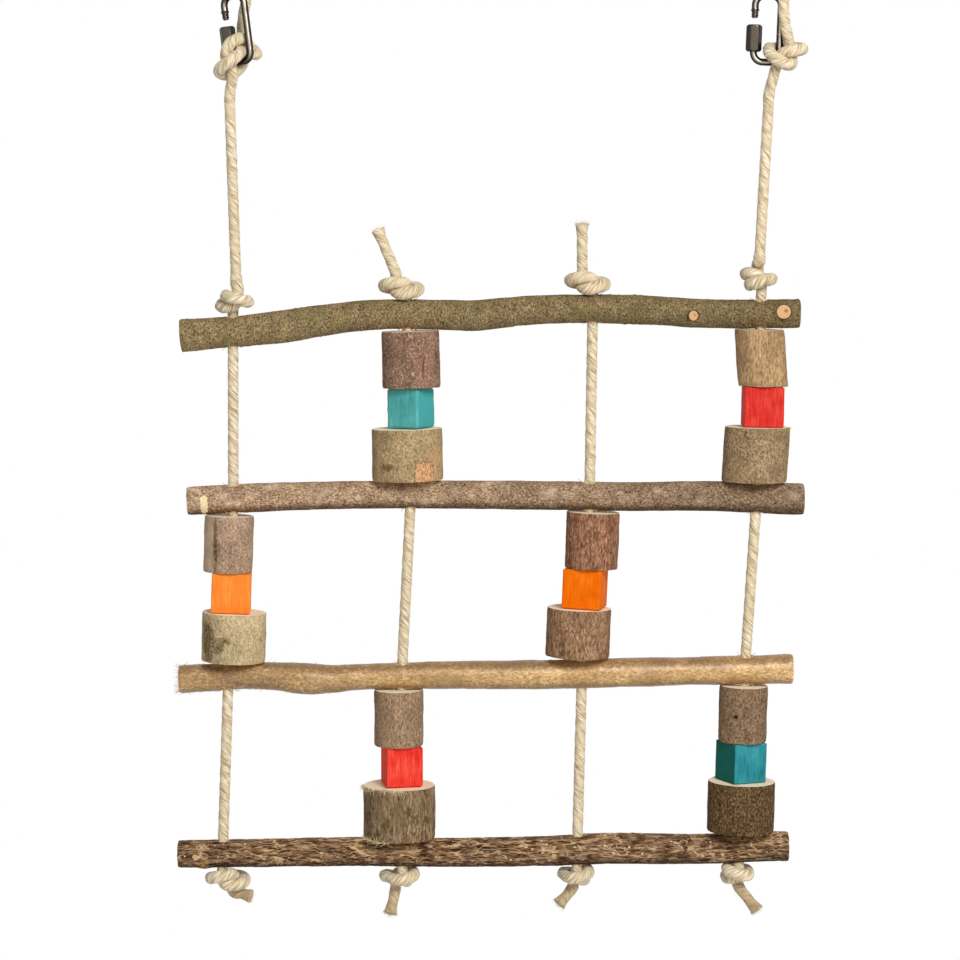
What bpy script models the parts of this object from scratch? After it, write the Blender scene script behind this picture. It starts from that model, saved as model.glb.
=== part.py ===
"""Hanging climbing frame for a bird.

Four branch rungs hang on four ropes, six stacks of threaded wooden beads hold the rungs apart,
and two open quick links carry the outer ropes. Metres, +Z up, +X along the rungs.
The origin lies midway between the bearing points in the tops of the two links.
"""
import math

import bmesh
import bpy
import numpy as np
from mathutils import Matrix, Vector

# Ropes
ROPE_DIAMETER = 0.0060
ROPE_HOLE_CLEARANCE = 0.0007   # radial, between the rope and a drilled hole
TAIL_FLARE = 1.25              # a cut end opens to this share of the rope's diameter
STRETCH_STEP = 0.015           # between the rings along a straight stretch
STRETCH_SIDES = 8
TAIL_STEP = 0.005              # between the rings along a tail
KNOT_SIDES = 6

# Seats
SEAT_GAP = 0.0003              # between pieces that touch on the real frame
SEAT_SAMPLES = 15              # places along a rung at which a bead's seat is sought

# Rungs
RUNG_LENGTH = 0.350
TOP_RUNG_DROP = 0.1765         # from the hang line down to the top rung's datum
BAY_PITCH = 0.1025             # from one rung's datum to the next
RUNG_SIDES = 16
RUNG_STEP = 0.0145             # between the rings along a rung
DRILL_REACH = 1.3              # length of a rope hole's drill, in rung diameters

# Beads
UPPER_LOG_HEIGHT = 0.0320
CUBE_HEIGHT = 0.0225
CUBE_EDGE_ROUND = 0.0007
BARK_WAVES = ((2, 0.011), (3, 0.007))    # lobes round a log and their share of its radius
BARK_TURN = 1.7                # radians from one stack's bark to the next
LOG_SIDES = 22
HOLE_SIDES = 12

# Quick links
LINK_SPACING = 0.300           # between the bearing points of the two links
LINK_LENGTH = 0.041            # overall
LINK_WIDTH = 0.0185            # overall
LINK_ROD = 0.0040
LINK_BEND_RADIUS = 0.0053      # of the rod's centre line
LINK_END_DROP = 0.0109         # from the bearing point down to the threaded end
LINK_END_EASE = 0.85           # the threaded end tapers to this share of the rod
LINK_SIDES = 10
BEND_STEP = 15                 # degrees between the rings round a bend
ROD_STEP = 0.001               # between the points by which ropes keep clear of a rod
NUT_LENGTH = 0.0150
NUT_FLATS = 0.0080
NUT_BORE_CLEARANCE = 0.0002    # radial
NUT_COVER = 0.0010             # the lower thread ends this far inside the nut
NUT_SIDES = 12                 # corners and middles of the flats

# Surfaces
BARK_ROUGHNESS = 0.88
ROPE_ROUGHNESS = 0.9
DYE_ROUGHNESS = 0.6
STEEL_ROUGHNESS = 0.35
SHARP_ANGLE = math.radians(40)

ROPE_RADIUS = ROPE_DIAMETER / 2
HOLE_RADIUS = ROPE_RADIUS + ROPE_HOLE_CLEARANCE
LINK_HALF = (LINK_WIDTH - LINK_ROD) / 2             # from a link's middle to a leg's axis
LINK_FOOT = 1.5 * LINK_ROD - LINK_LENGTH            # height of the foot's axis
NUT_FOOT = LINK_FOOT + LINK_BEND_RADIUS + SEAT_GAP  # height at which the nut stands on its leg

# How a knot is laid and drawn tight
KNOT_RING_STEP = 0.4 * ROPE_DIAMETER   # between the rings along a knot
KNOT_STEP = 0.3 * ROPE_DIAMETER        # between points while a knot is drawn
KNOT_SLACK = 0.22 * ROPE_DIAMETER      # aimed gap between turns, of which drawing takes some
KNOT_ROUNDS = 300
DRAW = 0.35                            # how far a point moves to its neighbours' middle in a round
HITCH_ROUNDS = 80                      # a hitch is drawn less, so that it keeps the shape it was laid in
HITCH_DRAW = 0.10
PUSH = 0.3                             # how much of an overlap a round clears
SQUEEZE = 0.022                        # how far a round flattens the turns of an overhand knot
KNOT_PRESS = 0.90                      # a drawn overhand knot presses its rope to this share of its width
OWN_SPAN = 1.7                         # points nearer along the rope, in widths, don't push
CORE = 0.8 * ROPE_DIAMETER             # farther from a knot's axis the rope belongs to its turns
LEAD_ASIDE = 0.5 * ROPE_DIAMETER       # a knot's ends lie this far from the middle of its turns
LAID_REACH = 7.0 * ROPE_DIAMETER       # half length of the rope that an overhand knot is drawn in
LAID_SIZE = 1.6 * ROPE_DIAMETER
LAID_DEPTH = 0.35
LAID_TURN = np.linspace(-2.05, 2.05, 25)
TAIL_LEAD = 0.35 * ROPE_DIAMETER       # a tail leaves its knot straight for this far
TINY = 1e-9

# Each rung: name, middle along X, stations (x, rise above the datum, diameter), colour
RUNGS = (
    ("top_rung", -0.0060, (
        (-0.181, -0.0119, 0.0186), (-0.144, -0.0091, 0.0176), (-0.128, -0.0074, 0.0184),
        (-0.097, -0.0028, 0.0174), (-0.075, -0.0004, 0.0170), (-0.033, -0.0003, 0.0170),
        (-0.017, -0.0006, 0.0174), (0.014, 0.0022, 0.0164), (0.075, 0.0028, 0.0164),
        (0.117, 0.0005, 0.0164), (0.169, 0.0005, 0.0164)), (0.20, 0.16, 0.09)),
    ("second_rung", -0.0030, (
        (-0.178, -0.0034, 0.0160), (-0.137, -0.0014, 0.0164), (-0.113, -0.0006, 0.0160),
        (0.030, -0.0003, 0.0164), (0.070, -0.0009, 0.0164), (0.118, -0.0006, 0.0170),
        (0.166, -0.0023, 0.0180)), (0.22, 0.16, 0.12)),
    ("third_rung", -0.0085, (
        (-0.183, -0.0031, 0.0160), (-0.129, -0.0014, 0.0160), (-0.113, -0.0028, 0.0178),
        (-0.097, -0.0031, 0.0162), (-0.081, -0.0019, 0.0149), (-0.025, -0.0008, 0.0160),
        (0.022, -0.0005, 0.0166), (0.070, 0.0007, 0.0166), (0.110, 0.0016, 0.0160),
        (0.160, 0.0027, 0.0170)), (0.36, 0.25, 0.13)),
    ("bottom_rung", -0.0100, (
        (-0.184, -0.0019, 0.0160), (-0.138, -0.0013, 0.0160), (-0.090, -0.0005, 0.0166),
        (-0.033, -0.0010, 0.0166), (0.023, -0.0002, 0.0172), (0.063, 0.0013, 0.0178),
        (0.111, 0.0010, 0.0172), (0.160, 0.0027, 0.0172)), (0.15, 0.09, 0.055)),
)

# Where each rope crosses the rungs, from the top rung to the bottom one
ROPE_X = (
    (-0.1515, -0.1520, -0.1555, -0.1595),
    (-0.0530, -0.0510, -0.0565, -0.0565),
    (0.0520, 0.0505, 0.0465, 0.0440),
    (0.1470, 0.1455, 0.1395, 0.1370),
)

# Each stack: bay, rope, dye, upper log (diameter, offset at top, at foot),
# cube (side, offset, turn in degrees), lower log (diameter, offset at top, at foot), bark colours
STACKS = (
    (0, 1, "teal", (0.0328, 0.0016, 0.0016), (0.0202, 0.0010, -28.0), (0.0402, -0.0016, -0.0016),
     ((0.22, 0.14, 0.10), (0.33, 0.25, 0.17))),
    (0, 3, "red", (0.0282, -0.0007, 0.0023), (0.0224, 0.0022, 0.0), (0.0372, -0.0004, -0.0018),
     ((0.33, 0.24, 0.14), (0.28, 0.22, 0.15))),
    (1, 0, "orange", (0.0280, -0.0020, -0.0020), (0.0222, 0.0004, 3.0), (0.0366, 0.0025, 0.0025),
     ((0.24, 0.19, 0.14), (0.25, 0.22, 0.14))),
    (1, 2, "amber", (0.0302, 0.0026, 0.0026), (0.0222, -0.0004, -13.0), (0.0366, -0.0032, -0.0032),
     ((0.25, 0.17, 0.12), (0.24, 0.17, 0.11))),
    (2, 1, "scarlet", (0.0281, -0.0017, -0.0017), (0.0211, 0.0, 11.0), (0.0412, -0.0015, -0.0015),
     ((0.23, 0.18, 0.13), (0.22, 0.19, 0.12))),
    (2, 3, "petrol", (0.0275, -0.0003, -0.0003), (0.0213, -0.0006, 27.0), (0.0385, 0.0002, 0.0002),
     ((0.25, 0.18, 0.13), (0.17, 0.13, 0.09))),
)
DYES = {
    "teal": (0.05, 0.33, 0.36), "petrol": (0.02, 0.20, 0.24), "red": (0.62, 0.04, 0.05),
    "scarlet": (0.70, 0.06, 0.05), "orange": (0.80, 0.22, 0.03), "amber": (0.72, 0.17, 0.01),
}
ROPE_COLOUR = (0.62, 0.50, 0.30)
STEEL_COLOUR = (0.16, 0.15, 0.14)

# Each link: name, side of the frame, turn about the vertical, lean in the frame's plane (degrees)
LINKS = (("left_link", -1, -35.0, 7.0), ("right_link", 1, 0.0, -2.0))

# Where an outer rope bends under its hitch: x from the link's bearing point, drop below the foot
HITCH_BEND = ((-0.0025, 0.0230), (0.0005, 0.0230))
# Where it bends over its top knot: x from the rope's hole, rise above the knot
KNOT_BEND = ((0.0020, 0.0040), (-0.0010, 0.0040))

# The two hitches, as laid loosely round a link's foot: from the middle of the foot's axis
LEFT_HITCH = (
    (-0.0046, -0.0039, -0.0150), (-0.0049, -0.0052, -0.0080), (-0.0040, -0.0065, -0.0010),
    (-0.0040, -0.0022, 0.0070), (-0.0057, 0.0064, 0.0040), (-0.0023, 0.0076, -0.0050),
    (-0.0075, 0.0020, -0.0090), (-0.0132, -0.0056, -0.0070), (-0.0088, -0.0135, -0.0030),
    (0.0003, -0.0126, 0.0005), (0.0035, -0.0067, 0.0050), (0.0018, 0.0019, 0.0070),
    (0.0060, 0.0097, 0.0025), (0.0048, 0.0150, 0.0010), (-0.0053, 0.0146, 0.0050),
    (-0.0079, 0.0104, 0.0120), (-0.0040, 0.0088, 0.0200),
)
RIGHT_HITCH = (
    (0.0035, -0.0045, -0.0110), (0.0050, -0.0062, -0.0020), (0.0085, -0.0085, 0.0050),
    (0.0155, -0.0060, 0.0075), (0.0165, 0.0020, 0.0075), (0.0100, 0.0065, 0.0080),
    (0.0015, 0.0055, 0.0085), (-0.0005, -0.0015, 0.0085), (0.0010, -0.0105, 0.0040),
    (0.0060, -0.0140, 0.0005), (0.0125, -0.0105, -0.0015), (0.0140, -0.0030, -0.0010),
    (0.0130, -0.0005, 0.0040), (0.0105, -0.0020, 0.0110), (0.0085, -0.0062, 0.0200),
)
# Cut ends of the hitches, from the links' bearing points
LINK_TAIL_END = ((0.0075, 0.0075, 0.0060), (0.0078, -0.0066, 0.0060))

# Each overhand knot: free rope between it and the rung's face, roll about the rope (degrees), hand
TOP_KNOTS = ((0.0025, 300.0, 1), (0.0006, -5.0, -1), (0.0006, 350.0, -1), (0.0055, 285.0, -1))
BOTTOM_KNOTS = ((0.0006, 20.0, -1), (0.0006, 130.0, -1), (0.0006, 108.0, -1), (0.0006, 270.0, 1))
# Cut ends of the tails over the top rung and under the bottom rung, from the rope's hole
TOP_TAIL_END = (None, (-0.0165, 0.0060, 0.0473), (-0.0063, -0.0030, 0.0478), None)
BOTTOM_TAIL_END = ((0.0160, -0.0015, -0.0245), (-0.0069, -0.0015, -0.0354),
                   (-0.0102, 0.0010, -0.0319), (0.0102, -0.0020, -0.0359))
OUTER_ROPES = (0, 3)


def clear_scene():
    for obj in list(bpy.data.objects):
        bpy.data.objects.remove(obj, do_unlink=True)


def smooth_line(points, step):
    """Points about one step apart along a smooth curve through the given ones."""
    points = np.asarray(points, dtype=float)
    padded = np.vstack((2 * points[0] - points[1], points, 2 * points[-1] - points[-2]))
    line = []
    for a, b, c, d in zip(padded, padded[1:], padded[2:], padded[3:]):
        count = max(2, int(np.linalg.norm(c - b) / (0.25 * step)))
        for t in np.arange(count) / count:
            line.append(0.5 * (2 * b + (c - a) * t + (2 * a - 5 * b + 4 * c - d) * t ** 2
                               + (3 * b - a - 3 * c + d) * t ** 3))
    line.append(points[-1])
    return even_line(np.array(line), step)


def even_line(line, step):
    """The same line with evenly spaced points."""
    steps = np.linalg.norm(np.diff(line[:, :3], axis=0), axis=1)
    along = np.concatenate(([0.0], np.cumsum(steps)))
    count = max(3, int(round(along[-1] / step)) + 1)
    marks = np.linspace(0.0, along[-1], count)
    return np.stack([np.interp(marks, along, values) for values in line.T], axis=1)


def draw_tight(points, rods=(), squeeze=0.0, rounds=KNOT_ROUNDS, draw=DRAW):
    """Draw a loosely laid knot tight between its fixed ends, clear of itself and of the rods.

    A rod is (points along it, its radius).
    """
    contact = ROPE_DIAMETER + KNOT_SLACK
    line = smooth_line(points, KNOT_STEP)
    for _ in range(rounds):
        line[1:-1] += draw * (line[:-2] + line[2:] - 2 * line[1:-1])
        order = np.arange(len(line))
        apart = line[:, None, :] - line[None, :, :]
        gap = np.linalg.norm(apart, axis=2) + TINY
        along = np.abs(order[:, None] - order[None, :]) * KNOT_STEP
        close = (along > OWN_SPAN * contact) & (gap < contact)
        push = np.where(close, (contact - gap) / gap, 0.0)
        move = PUSH * (push[:, :, None] * apart).sum(axis=1)
        aside = np.hypot(line[:, 0], line[:, 1] - LEAD_ASIDE)
        move[:, 2] -= squeeze * np.where(aside > CORE, line[:, 2], 0.0)
        for rod_line, rod_radius in rods:
            keep = ROPE_RADIUS + rod_radius + KNOT_SLACK
            apart = line[:, None, :] - rod_line[None, :, :]
            gap = np.linalg.norm(apart, axis=2)
            nearest = gap.argmin(axis=1)
            least = gap[order, nearest]
            push = np.where(least < keep, (keep - least) / (least + TINY), 0.0)
            move += PUSH * push[:, None] * apart[order, nearest]
        line[1:-1] += move[1:-1]
        line = even_line(line, KNOT_STEP)
    return line


def least_gap(line, swell):
    """Least gap of a rope to itself, between points more than two diameters apart along it.

    swell holds each point's share of the rope's radius.
    """
    line = even_line(np.column_stack((line, swell)), KNOT_STEP)
    order = np.arange(len(line))
    apart = np.linalg.norm(line[:, None, :3] - line[None, :, :3], axis=2)
    radii = ROPE_RADIUS * line[:, 3]
    gap = apart - radii[:, None] - radii[None, :]
    own = np.abs(order[:, None] - order[None, :]) * KNOT_STEP < 2 * ROPE_DIAMETER
    return gap[~own].min()


def overhand():
    """A drawn overhand knot along Z, from below to above, cut where the rope leaves its turns.

    It is drawn in rope of full width and then pressed as a whole.
    """
    laid = [(0.0, LEAD_ASIDE, -LAID_REACH)]
    for t in LAID_TURN:
        trefoil = (t ** 3 - 3 * t, t ** 4 - 4 * t ** 2 + 2, LAID_DEPTH * (t ** 5 - 10 * t))
        laid.append(LAID_SIZE * np.array(trefoil))
    laid.append((0.0, LEAD_ASIDE, LAID_REACH))
    line = draw_tight(laid, squeeze=SQUEEZE)
    line -= np.array((0.0, LEAD_ASIDE, 0.0))
    turns = np.hypot(line[:, 0], line[:, 1]) > CORE
    half = np.abs(line[turns, 2]).max() + ROPE_RADIUS
    inside = np.nonzero(np.abs(line[:, 2]) < half)[0]
    line = line[inside[0]:inside[-1] + 1]
    flat = np.array((1.0, 1.0, 0.0))
    rise = np.array((0.0, 0.0, half))
    return KNOT_PRESS * np.vstack((line[0] * flat - rise, line, line[-1] * flat + rise))


def turned(points, roll, hand):
    """A knot rolled about Z, and mirrored where its hand is -1."""
    points = points * np.array((hand, 1.0, 1.0))
    c, s = math.cos(math.radians(roll)), math.sin(math.radians(roll))
    return points @ np.array(((c, s, 0.0), (-s, c, 0.0), (0.0, 0.0, 1.0)))


def tail_line(shape, end):
    """Points from a knot's last one, straight on for a little and then over to the tail's end."""
    rise = math.copysign(TAIL_LEAD, shape[-1][2] - shape[0][2])
    leave = shape[-1] + np.array((0.0, 0.0, rise))
    return smooth_line((shape[-1], leave, end), TAIL_STEP)[1:]


# Rungs and the ropes' lines through them


def rung_at(level, x):
    """Height and radius of a rung's round section at x."""
    stations = np.array(RUNGS[level][2])
    at, values = stations[:, 0], stations[:, 1:]
    slope = np.gradient(values, at, axis=0)
    x = min(max(x, at[0]), at[-1])
    k = min(int(np.searchsorted(at, x, side="right")) - 1, len(at) - 2)
    span = at[k + 1] - at[k]
    t = (x - at[k]) / span
    rise, diameter = ((1 + 2 * t) * (1 - t) ** 2 * values[k] + t ** 2 * (3 - 2 * t) * values[k + 1]
                      + span * (t * (1 - t) ** 2 * slope[k] - t ** 2 * (1 - t) * slope[k + 1]))
    return -TOP_RUNG_DROP - level * BAY_PITCH + rise, diameter / 2


def crossing(rope, level):
    """Where a rope's line meets a rung's centre line."""
    x = ROPE_X[rope][level]
    return np.array((x, 0.0, rung_at(level, x)[0]))


def bay_line(rope, bay):
    """Direction of a rope's line down a bay."""
    run = crossing(rope, bay + 1) - crossing(rope, bay)
    return run / np.linalg.norm(run)


def hole_line(rope, level):
    """Direction of a rung's hole: that of the stretch that runs into it."""
    return bay_line(rope, max(level - 1, 0))


def rope_end_depth(rope, level):
    """How far below a rung's middle a rope piece ends, inside the rung's round."""
    radius = rung_at(level, ROPE_X[rope][level])[1]
    return math.sqrt(radius ** 2 - ROPE_RADIUS ** 2) - SEAT_GAP / 2


def seat(rope, bay, level, reach):
    """Distance along a bay's line, from its upper crossing, to a bead's seat on a rung."""
    start = crossing(rope, bay)
    line = bay_line(rope, bay)
    below = level == bay
    marks = []
    for x in np.linspace(-reach, reach, SEAT_SAMPLES) + ROPE_X[rope][level]:
        height, radius = rung_at(level, x)
        face = np.array((x, 0.0, height - radius if below else height + radius))
        marks.append(float((face - start) @ line))
    return max(marks) + SEAT_GAP if below else min(marks) - SEAT_GAP


# Objects


def pivot(name, place, parent=None):
    """An empty on a joint's axis that carries the pieces that move with it."""
    empty = bpy.data.objects.new(name, None)
    bpy.context.collection.objects.link(empty)
    empty["place"] = [float(v) for v in place]
    base = Vector(parent["place"]) if parent else Vector()
    empty.location = Vector(place) - base
    empty.parent = parent
    return empty


def finish(obj, parent, place, colour, roughness, metallic=0.0):
    """Link an object, hang it on its parent and give it its own material."""
    bpy.context.collection.objects.link(obj)
    obj.parent = parent
    obj.location = Vector(place) - (Vector(parent["place"]) if parent else Vector())
    material = bpy.data.materials.new(obj.name)
    material.use_nodes = True
    shader = material.node_tree.nodes["Principled BSDF"]
    shader.inputs["Base Color"].default_value = (*colour, 1.0)
    shader.inputs["Roughness"].default_value = roughness
    shader.inputs["Metallic"].default_value = metallic
    obj.data.materials.append(material)
    return obj


def mesh_object(name, bm, parent, place, colour, roughness, metallic=0.0):
    """A shaded mesh object from a bmesh given about its own place."""
    bmesh.ops.recalc_face_normals(bm, faces=bm.faces)
    mesh = bpy.data.meshes.new(name)
    bm.to_mesh(mesh)
    bm.free()
    mesh.shade_smooth()
    mesh.set_sharp_from_angle(angle=SHARP_ANGLE)
    return finish(bpy.data.objects.new(name, mesh), parent, place, colour, roughness, metallic)


def tube(name, points, radius, sides, parent, place, colour, roughness, metallic=0.0, swell=None):
    """A round bar or rope through points; swell holds each point's share of the radius."""
    curve = bpy.data.curves.new(name, "CURVE")
    curve.dimensions = "3D"
    curve.bevel_depth = radius
    curve.bevel_resolution = (sides - 4) // 2
    curve.use_fill_caps = True
    spline = curve.splines.new("POLY")
    spline.points.add(len(points) - 1)
    for point, co, share in zip(spline.points, points, swell or [1.0] * len(points)):
        point.co = (*(Vector(co) - Vector(place)), 1.0)
        point.radius = share
    return finish(bpy.data.objects.new(name, curve), parent, place, colour, roughness, metallic)


def rope_piece(name, points, parent, place, sides, swell=None, flare=False, dome=False):
    """A rope tube; its last point may flare as a cut end, its first may be a round bend."""
    points = [Vector(p) for p in points]
    swell = list(swell or [1.0] * len(points))
    if flare:
        swell[-1] = TAIL_FLARE
    if dome:
        up = (points[0] - points[1]).normalized()
        slopes = (math.radians(60), math.radians(30))
        points = [points[0] + up * ROPE_RADIUS * math.sin(a) for a in slopes] + points
        swell = [math.cos(a) for a in slopes] + swell
    tube(name, points, ROPE_RADIUS, sides, parent, place, ROPE_COLOUR, ROPE_ROUGHNESS, swell=swell)


def knotted_piece(name, lead, shape, tail, share, parent, place, flare=False, dome=False):
    """A rope tube with a knot in it, pressed to a share of its width there; a dome starts at the tail.

    Prints how near its turns come to each other.
    """
    points = np.vstack((lead, shape, tail))
    swell = [1.0] * len(lead) + [share] * len(shape) + [1.0] * len(tail)
    if dome:
        points, swell = points[::-1], swell[::-1]
    print(f"{name}: least gap to itself {1000 * least_gap(points, swell):.2f} mm")
    rope_piece(name, points, parent, place, KNOT_SIDES, swell, flare, dome)


def ring(bm, sides, z, shape):
    """A ring of vertices at height z; shape gives x and y at an angle."""
    return [bm.verts.new((*shape(2 * math.pi * k / sides), z)) for k in range(sides)]


def skin(bm, lower, upper):
    for k in range(len(lower)):
        n = (k + 1) % len(lower)
        bm.faces.new((lower[k], lower[n], upper[n], upper[k]))


def bored(bm, outers, hole_radius):
    """Close a stack of outer rings into a solid with a round hole along Z."""
    def hole(a):
        return hole_radius * math.cos(a), hole_radius * math.sin(a)
    foot, top = (ring(bm, len(outers[0]), outer[0].co.z, hole) for outer in (outers[0], outers[-1]))
    for lower, upper in zip(outers, outers[1:]):
        skin(bm, lower, upper)
    skin(bm, foot, outers[0])
    skin(bm, outers[-1], top)
    skin(bm, top, foot)


# Pieces


def make_rung(level, parent, place):
    name, middle, _, colour = RUNGS[level]
    bm = bmesh.new()
    rings = []
    count = round(RUNG_LENGTH / RUNG_STEP)
    for k in range(count + 1):
        x = middle + RUNG_LENGTH * (k / count - 0.5)
        height, radius = rung_at(level, x)
        loop = []
        for n in range(RUNG_SIDES):
            a = 2 * math.pi * n / RUNG_SIDES
            at = Vector((x, radius * math.sin(a), height + radius * math.cos(a))) - Vector(place)
            loop.append(bm.verts.new(at))
        rings.append(loop)
    for lower, upper in zip(rings, rings[1:]):
        skin(bm, lower, upper)
    bm.faces.new(rings[0])
    bm.faces.new(rings[-1])
    rung = mesh_object(name, bm, parent, place, colour, BARK_ROUGHNESS)
    cut_holes(rung, level)


def cut_holes(rung, level):
    """Drill a rung's four rope holes along the ropes' lines."""
    bm = bmesh.new()
    for rope in range(len(ROPE_X)):
        centre = crossing(rope, level)
        depth = DRILL_REACH * 2 * rung_at(level, centre[0])[1]
        turn = Vector((0, 0, 1)).rotation_difference(Vector(hole_line(rope, level)))
        at = Matrix.Translation(centre) @ turn.to_matrix().to_4x4()
        bmesh.ops.create_cone(bm, cap_ends=True, segments=HOLE_SIDES, radius1=HOLE_RADIUS,
                              radius2=HOLE_RADIUS, depth=depth, matrix=at)
    mesh = bpy.data.meshes.new(rung.name + "_drill")
    bm.to_mesh(mesh)
    bm.free()
    drill = bpy.data.objects.new(mesh.name, mesh)
    bpy.context.collection.objects.link(drill)
    drill.hide_render = True
    drill.display_type = "WIRE"
    cut = rung.modifiers.new("rope_holes", "BOOLEAN")
    cut.object = drill
    cut.operation = "DIFFERENCE"


def bead_frame(obj, line, turn=0.0):
    """Stand a bead along its rope, turned about it."""
    lean = Vector((0, 0, 1)).rotation_difference(-Vector(line))
    obj.rotation_mode = "QUATERNION"
    obj.rotation_quaternion = lean @ Matrix.Rotation(math.radians(turn), 3, "Z").to_quaternion()


def make_log(name, size, height, phase, line, parent, place, colour):
    """A bark log with a rope hole that lies off its middle."""
    diameter, top_offset, foot_offset = size
    bm = bmesh.new()
    outers = []
    for share in (0.0, 0.5, 1.0):
        offset = foot_offset + (top_offset - foot_offset) * share

        def bark(a):
            wave = sum(share * math.cos(lobes * (a + phase)) for lobes, share in BARK_WAVES)
            radius = diameter / 2 * (1 + wave)
            return offset + radius * math.cos(a), radius * math.sin(a)
        outers.append(ring(bm, LOG_SIDES, height * (share - 0.5), bark))
    bored(bm, outers, HOLE_RADIUS)
    log = mesh_object(name, bm, parent, place, colour, BARK_ROUGHNESS)
    bead_frame(log, line)


def make_cube(name, side, offset, turn, line, parent, place, colour):
    """A dyed block with eased edges and a rope hole."""
    half = side / 2
    corner = CUBE_EDGE_ROUND

    def square(inset):
        flat = half - inset - corner
        out = half - inset
        quarter = ((out, -flat), (out, flat), (flat, out))
        spots = []
        for k in range(4):
            c, s = round(math.cos(k * math.pi / 2)), round(math.sin(k * math.pi / 2))
            spots += [(x * c - y * s, x * s + y * c) for x, y in quarter]
        return spots
    bm = bmesh.new()
    outers = []
    shift = Vector((offset, 0.0)).to_3d()
    shift.rotate(Matrix.Rotation(math.radians(-turn), 3, "Z"))
    for inset, z in ((corner, -0.5), (0.0, -0.5), (0.0, 0.5), (corner, 0.5)):
        height = z * CUBE_HEIGHT + (corner if z < 0 else -corner) * (inset == 0.0)
        outers.append([bm.verts.new((x + shift.x, y + shift.y, height)) for x, y in square(inset)])
    bored(bm, outers, HOLE_RADIUS)
    cube = mesh_object(name, bm, parent, place, colour, DYE_ROUGHNESS)
    bead_frame(cube, line, turn)


def make_stack(index, parent):
    """The three beads of a stack: the lower log fills what the other two leave of the bay."""
    bay, rope, dye, upper, cube, lower, barks = STACKS[index]
    start, line = crossing(rope, bay), bay_line(rope, bay)
    top = seat(rope, bay, bay, upper[0] / 2 + abs(upper[1]))
    foot = seat(rope, bay, bay + 1, lower[0] / 2 + abs(lower[2]))
    cube_top = top + UPPER_LOG_HEIGHT + SEAT_GAP
    lower_top = cube_top + CUBE_HEIGHT + SEAT_GAP
    name = f"bay{bay + 1}_rope{rope + 1}_"
    make_log(name + "upper_log", upper, UPPER_LOG_HEIGHT, BARK_TURN * index, line, parent,
             start + line * (top + UPPER_LOG_HEIGHT / 2), barks[0])
    make_cube(name + dye + "_cube", *cube, line, parent,
              start + line * (cube_top + CUBE_HEIGHT / 2), DYES[dye])
    make_log(name + "lower_log", lower, foot - lower_top, BARK_TURN * (index + 0.5), line, parent,
             start + line * (foot + lower_top) / 2, barks[1])


def link_rod_line():
    """Centre line of a link's rod in its own frame, from the lower thread round to the upper one."""
    bend = LINK_BEND_RADIUS
    low, high = LINK_FOOT + bend, LINK_ROD / 2 - bend
    points = [(-LINK_HALF, 0.0, NUT_FOOT + NUT_LENGTH - NUT_COVER)]
    for side, height, first in ((-1, low, 180), (1, low, 270), (1, high, 0), (-1, high, 90)):
        for degrees in range(first, first + 91, BEND_STEP):
            a = math.radians(degrees)
            x = side * (LINK_HALF - bend) + bend * math.cos(a)
            points.append((x, 0.0, height + bend * math.sin(a)))
    points.append((-LINK_HALF, 0.0, -LINK_END_DROP))
    return np.array(points)


def link_matrix(side, turn, lean):
    place = Matrix.Translation((side * LINK_SPACING / 2, 0.0, 0.0))
    return (place @ Matrix.Rotation(math.radians(-lean), 4, "Y")
            @ Matrix.Rotation(math.radians(turn), 4, "Z"))


def moved(points, matrix):
    return np.array([matrix @ Vector(p) for p in points])


def make_link(name, side, turn, lean):
    """The bent rod and its long nut; returns what the rope has to keep clear of."""
    matrix = link_matrix(side, turn, lean)
    rod = moved(link_rod_line(), matrix)
    swell = [1.0] * (len(rod) - 1) + [LINK_END_EASE]
    tube(name, rod, LINK_ROD / 2, LINK_SIDES, None, matrix.translation, STEEL_COLOUR,
         STEEL_ROUGHNESS, 1.0, swell)
    bm = bmesh.new()

    def hexagon(a):
        reach = NUT_FLATS / 2 / math.cos((a + math.pi / 6) % (math.pi / 3) - math.pi / 6)
        return reach * math.cos(a), reach * math.sin(a)
    outers = [ring(bm, NUT_SIDES, z * NUT_LENGTH, hexagon) for z in (-0.5, 0.5)]
    bored(bm, outers, LINK_ROD / 2 + NUT_BORE_CLEARANCE)
    middle = matrix @ Vector((-LINK_HALF, 0.0, NUT_FOOT + NUT_LENGTH / 2))
    nut = mesh_object(name + "_nut", bm, None, middle, STEEL_COLOUR, STEEL_ROUGHNESS, 1.0)
    nut.rotation_mode = "QUATERNION"
    nut.rotation_quaternion = matrix.to_quaternion()
    travel = moved(((-LINK_HALF, 0.0, NUT_FOOT), (-LINK_HALF, 0.0, -LINK_ROD)), matrix)
    return ((even_line(rod, ROD_STEP), LINK_ROD / 2),
            (even_line(travel, ROD_STEP), NUT_FLATS / math.sqrt(3)))


def hitch_bend(side):
    """Where an outer rope bends under its hitch."""
    aside, drop = HITCH_BEND[side]
    return np.array((LINKS[side][1] * LINK_SPACING / 2 + aside, 0.0, LINK_FOOT - drop))


def knot_bend(side, knot):
    """Where an outer rope bends over its top knot."""
    rope = OUTER_ROPES[side]
    aside, rise = KNOT_BEND[side]
    knot_top = knot_start(rope) + knot[-1] - knot[0]
    return np.array((ROPE_X[rope][0] + aside, 0.0, knot_top[2] + rise))


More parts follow.
